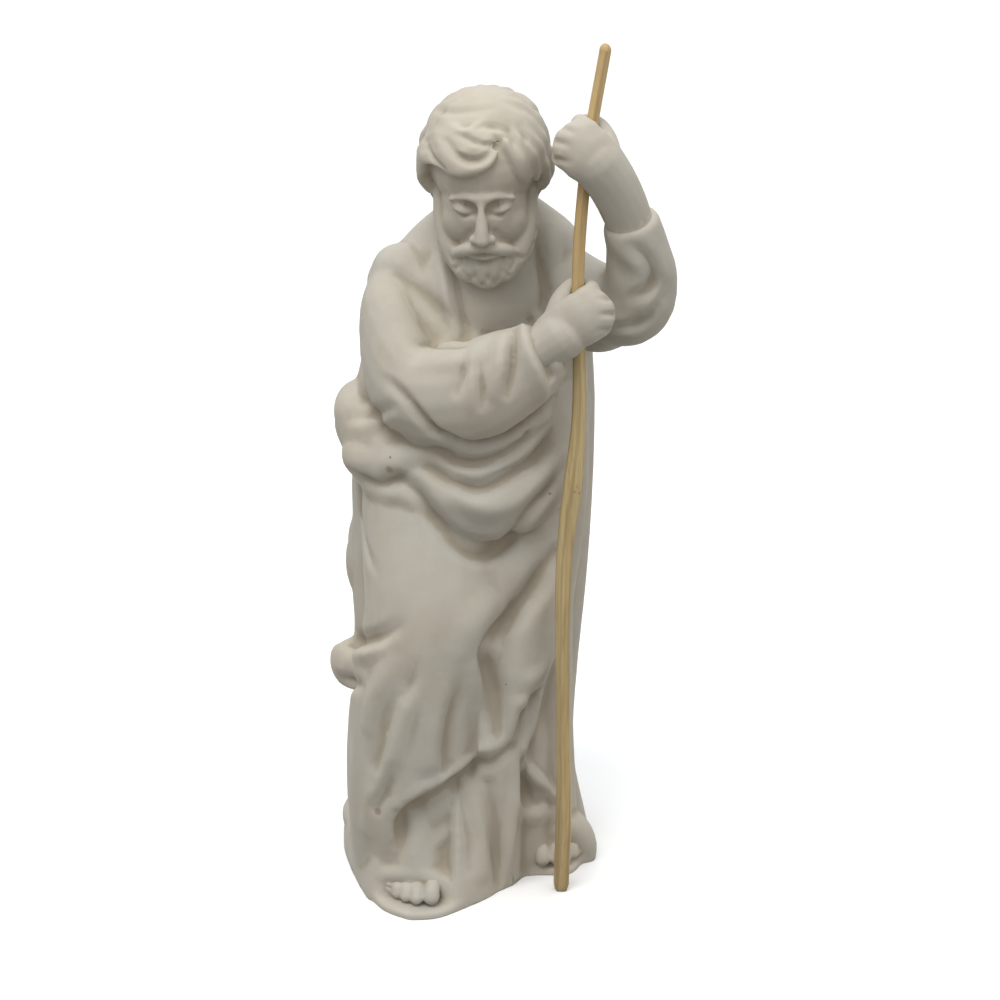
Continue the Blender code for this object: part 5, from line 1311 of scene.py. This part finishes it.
def wood(staff):
    """Bare whittled softwood: grain lines along the stick, warmer streaks, and a dry finish."""
    material, tree, shader = new_material("whittled wood")
    place = node(tree, "ShaderNodeTexCoord").outputs["Object"]
    squeeze = node(tree, "ShaderNodeVectorMath", operation="MULTIPLY")
    tree.links.new(place, squeeze.inputs[0])
    squeeze.inputs[1].default_value = (1, 1, 0.035)
    along = squeeze.outputs["Vector"]
    streaks = stretch(tree, noise(tree, along, 420, 3, 0.6), 0.35, 0.7)
    colour = blend(tree, streaks, WOOD_PALE, WOOD_TAN)
    lines = stretch(tree, noise(tree, along, 2300, 2, 0.6), 0.5, 0.75)
    colour = blend(tree, stretch(tree, lines, 0, 1, 0, 0.45), colour, WOOD_GRAIN)
    broad = stretch(tree, noise(tree, place, 18, 2), 0.4, 0.65)
    colour = blend(tree, stretch(tree, broad, 0, 1, 0, 0.4), colour, WOOD_FAWN)
    rise = node(tree, "ShaderNodeSeparateXYZ")
    tree.links.new(place, rise.inputs[0])
    low, high = WARM_HEIGHTS
    upper = stretch(tree, rise.outputs["Z"], low * UNIT, high * UNIT, 0, 0.55)
    colour = blend(tree, upper, colour, WOOD_WARM)
    ridge = stretch(tree, attribute(tree, "ridge"), 0.35, 1.0, 0, 0.4)
    colour = blend(tree, ridge, colour, WOOD_GRAIN)
    colour = add_marks(tree, place, colour, staff, STAFF_MARKS)
    tree.links.new(colour, shader.inputs["Base Color"])
    tree.links.new(stretch(tree, lines, 0, 1, 0.52, 0.7), shader.inputs["Roughness"])
    shader.inputs["Specular IOR Level"].default_value = 0.35
    normal = bump(tree, noise(tree, along, 1800, 2, 0.6), 0.00006, 0.6)
    tree.links.new(normal, shader.inputs["Normal"])
    return material


def dress(thing, material):
    thing.data.materials.clear()
    thing.data.materials.append(material)
    thing.data.shade_smooth()


# The whittled staff: knife cuts leave long flats that wander a little and turn slowly up the stick

STAFF_FLATS = 6
STAFF_TIP_SHARES = (0.2, 0.4, 0.6, 0.75, 0.87, 0.95, 0.99)
STAFF_FINE_SIDES = 36
STAFF_RING_GAP = 1.2
FLAT_TURN = 0.9
FLAT_REACH = 0.95
FOOT_BEVEL = 0.78
FOOT_BEVEL_RISE = 2.2


def whittled_staff():
    """The fine staff. Its ridge attribute is 1 along the edges where two flats meet."""
    route = spline(STAFF_ROUTE, 24)
    top = STAFF_LENGTH / UNIT
    heights = np.append(np.arange(0, top - STAFF_END_RUN, STAFF_RING_GAP), top - STAFF_END_RUN)
    turn = np.arange(STAFF_FINE_SIDES) * 2 * math.pi / STAFF_FINE_SIDES
    circle = np.column_stack([np.cos(turn), np.sin(turn), np.zeros(STAFF_FINE_SIDES)])
    rings, ridges = [], []
    for height in heights:
        centre = np.array([np.interp(height, route[:, 2], route[:, k]) for k in range(2)] + [height])
        round_radius = np.interp(height, route[:, 2], route[:, 3]) * STAFF_THICKNESS / UNIT / 2
        reach = np.full(STAFF_FINE_SIDES, 1.0)
        for k in range(STAFF_FLATS):
            facing = 2 * math.pi * (k + 0.32 * math.sin(2.4 * k)) / STAFF_FLATS - math.pi / 2
            facing += FLAT_TURN * height / top + 0.10 * math.sin(height / (17 + 3 * k) + 2 * k)
            depth = 0.885 + 0.045 * math.sin(height / (11.0 + 2.3 * k) + 1.7 * k)
            slope = np.cos(turn - facing)
            reach = np.minimum(reach, np.where(slope > 0.2, depth / np.maximum(slope, 0.2), 9))
        ridges.append(np.clip((reach - FLAT_REACH) / (1 - FLAT_REACH), 0, 1))
        bevel = min(1.0, FOOT_BEVEL + (1 - FOOT_BEVEL) * height / FOOT_BEVEL_RISE)
        rings.append(centre + circle * (round_radius * reach * bevel)[:, None])
    tip, centre = rings[-1], rings[-1].mean(0)
    for share in STAFF_TIP_SHARES:
        rise = np.array([0, 0, STAFF_END_RUN * share])
        rings.append(centre + (tip - centre) * math.sqrt(1 - share ** 2) + rise)
    points, faces = skin_rings(rings)
    points[-1][2] = top
    staff = mesh_object("staff_wood", points, faces)
    shades = np.zeros(len(points))
    shades[:len(ridges) * STAFF_FINE_SIDES] = np.concatenate(ridges)
    layer = staff.data.attributes.new("ridge", "FLOAT", "POINT")
    layer.data.foreach_set("value", shades)
    return staff


# Studio: pale floor, one broad soft light above, a weak fill from the front, pale surroundings

FLOOR_REACH = 12.0
FLOOR_GREY = (0.92, 0.92, 0.92, 1)
FLOOR_ROUGHNESS = 0.9
LIGHT_AIM = (0, 0, 0.14)
# Name, place and size in metres, power in watts, colour
LIGHTS = [
    ("key", (-0.26, -0.52, 1.3), 0.75, 8.0, (1.0, 0.985, 0.96)),
    ("fill", (0.85, -0.55, 0.35), 0.6, 0.7, (1.0, 0.92, 0.80)),
]

# The camera: sensor in millimetres, the photo's width in pixels, one pixel in units, and its shift
SENSOR = 36.0
PHOTO_PIXELS = 1000
PIXEL_UNITS = 0.298
PHOTO_SHIFT = 0.03

# Colours of the surroundings, from straight below at 0 to straight above at 1
SKY_STRENGTH = 1.5
SKY = [
    (0.0, (0.20, 0.195, 0.185)),
    (0.48, (0.20, 0.195, 0.185)),
    (0.53, (0.34, 0.345, 0.35)),
    (1.0, (0.97, 0.985, 1.0)),
]


def area_light(name, place, size, power, colour):
    data = bpy.data.lights.new(name, "AREA")
    data.shape = "DISK"
    data.size = size
    data.energy = power
    data.color = colour
    lamp = bpy.data.objects.new(name, data)
    bpy.context.scene.collection.objects.link(lamp)
    lamp.location = place
    lamp.rotation_euler = (Vector(LIGHT_AIM) - Vector(place)).to_track_quat("-Z", "Y").to_euler()


def overhead_sky():
    """Surroundings that are bright overhead, dimmer towards the horizon and dim below it."""
    world = bpy.data.worlds.new("studio")
    world.use_nodes = True
    tree = world.node_tree
    place = node(tree, "ShaderNodeTexCoord").outputs["Generated"]
    split = node(tree, "ShaderNodeSeparateXYZ")
    tree.links.new(place, split.inputs[0])
    colour = ramp(tree, stretch(tree, split.outputs["Z"], -1, 1), SKY)
    tree.links.new(colour, tree.nodes["Background"].inputs["Color"])
    tree.nodes["Background"].inputs["Strength"].default_value = SKY_STRENGTH
    return world


def studio():
    reaches = (-FLOOR_REACH, FLOOR_REACH)
    floor = mesh_object("floor", [(x, y, 0) for y in reaches for x in reaches], [(0, 1, 3, 2)])
    material, tree, shader = new_material("pale floor")
    shader.inputs["Base Color"].default_value = FLOOR_GREY
    shader.inputs["Roughness"].default_value = FLOOR_ROUGHNESS
    floor.data.materials.append(material)
    floor.visible_diffuse = False
    bpy.context.scene.world = overhead_sky()
    for light in LIGHTS:
        area_light(*light)
    data = bpy.data.cameras.new("camera")
    data.sensor_width = SENSOR
    data.lens = SENSOR * EYE_DISTANCE / PIXEL_UNITS / PHOTO_PIXELS
    data.shift_x = PHOTO_SHIFT
    data.clip_start = 0.01
    camera = bpy.data.objects.new("camera", data)
    bpy.context.scene.collection.objects.link(camera)
    camera.location = EYE * UNIT
    camera.rotation_euler = SIGHT.to_track_quat("-Z", "Y").to_euler()
    bpy.context.scene.camera = camera
    bpy.context.scene.view_settings.view_transform = "Standard"


def main():
    figure = make_figure()
    figure.name = "figure_bisque"
    staff = whittled_staff()
    for piece, shown_node, slot in ((figure, "figure", "porcelain"), (staff, "staff", "wood")):
        piece.data.transform(Matrix.Scale(UNIT, 4))
        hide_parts(shown_node)
        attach(piece, "root")
    mark_relief(figure)
    dress(figure, porcelain(figure))
    dress(staff, wood(staff))
    studio()


main()
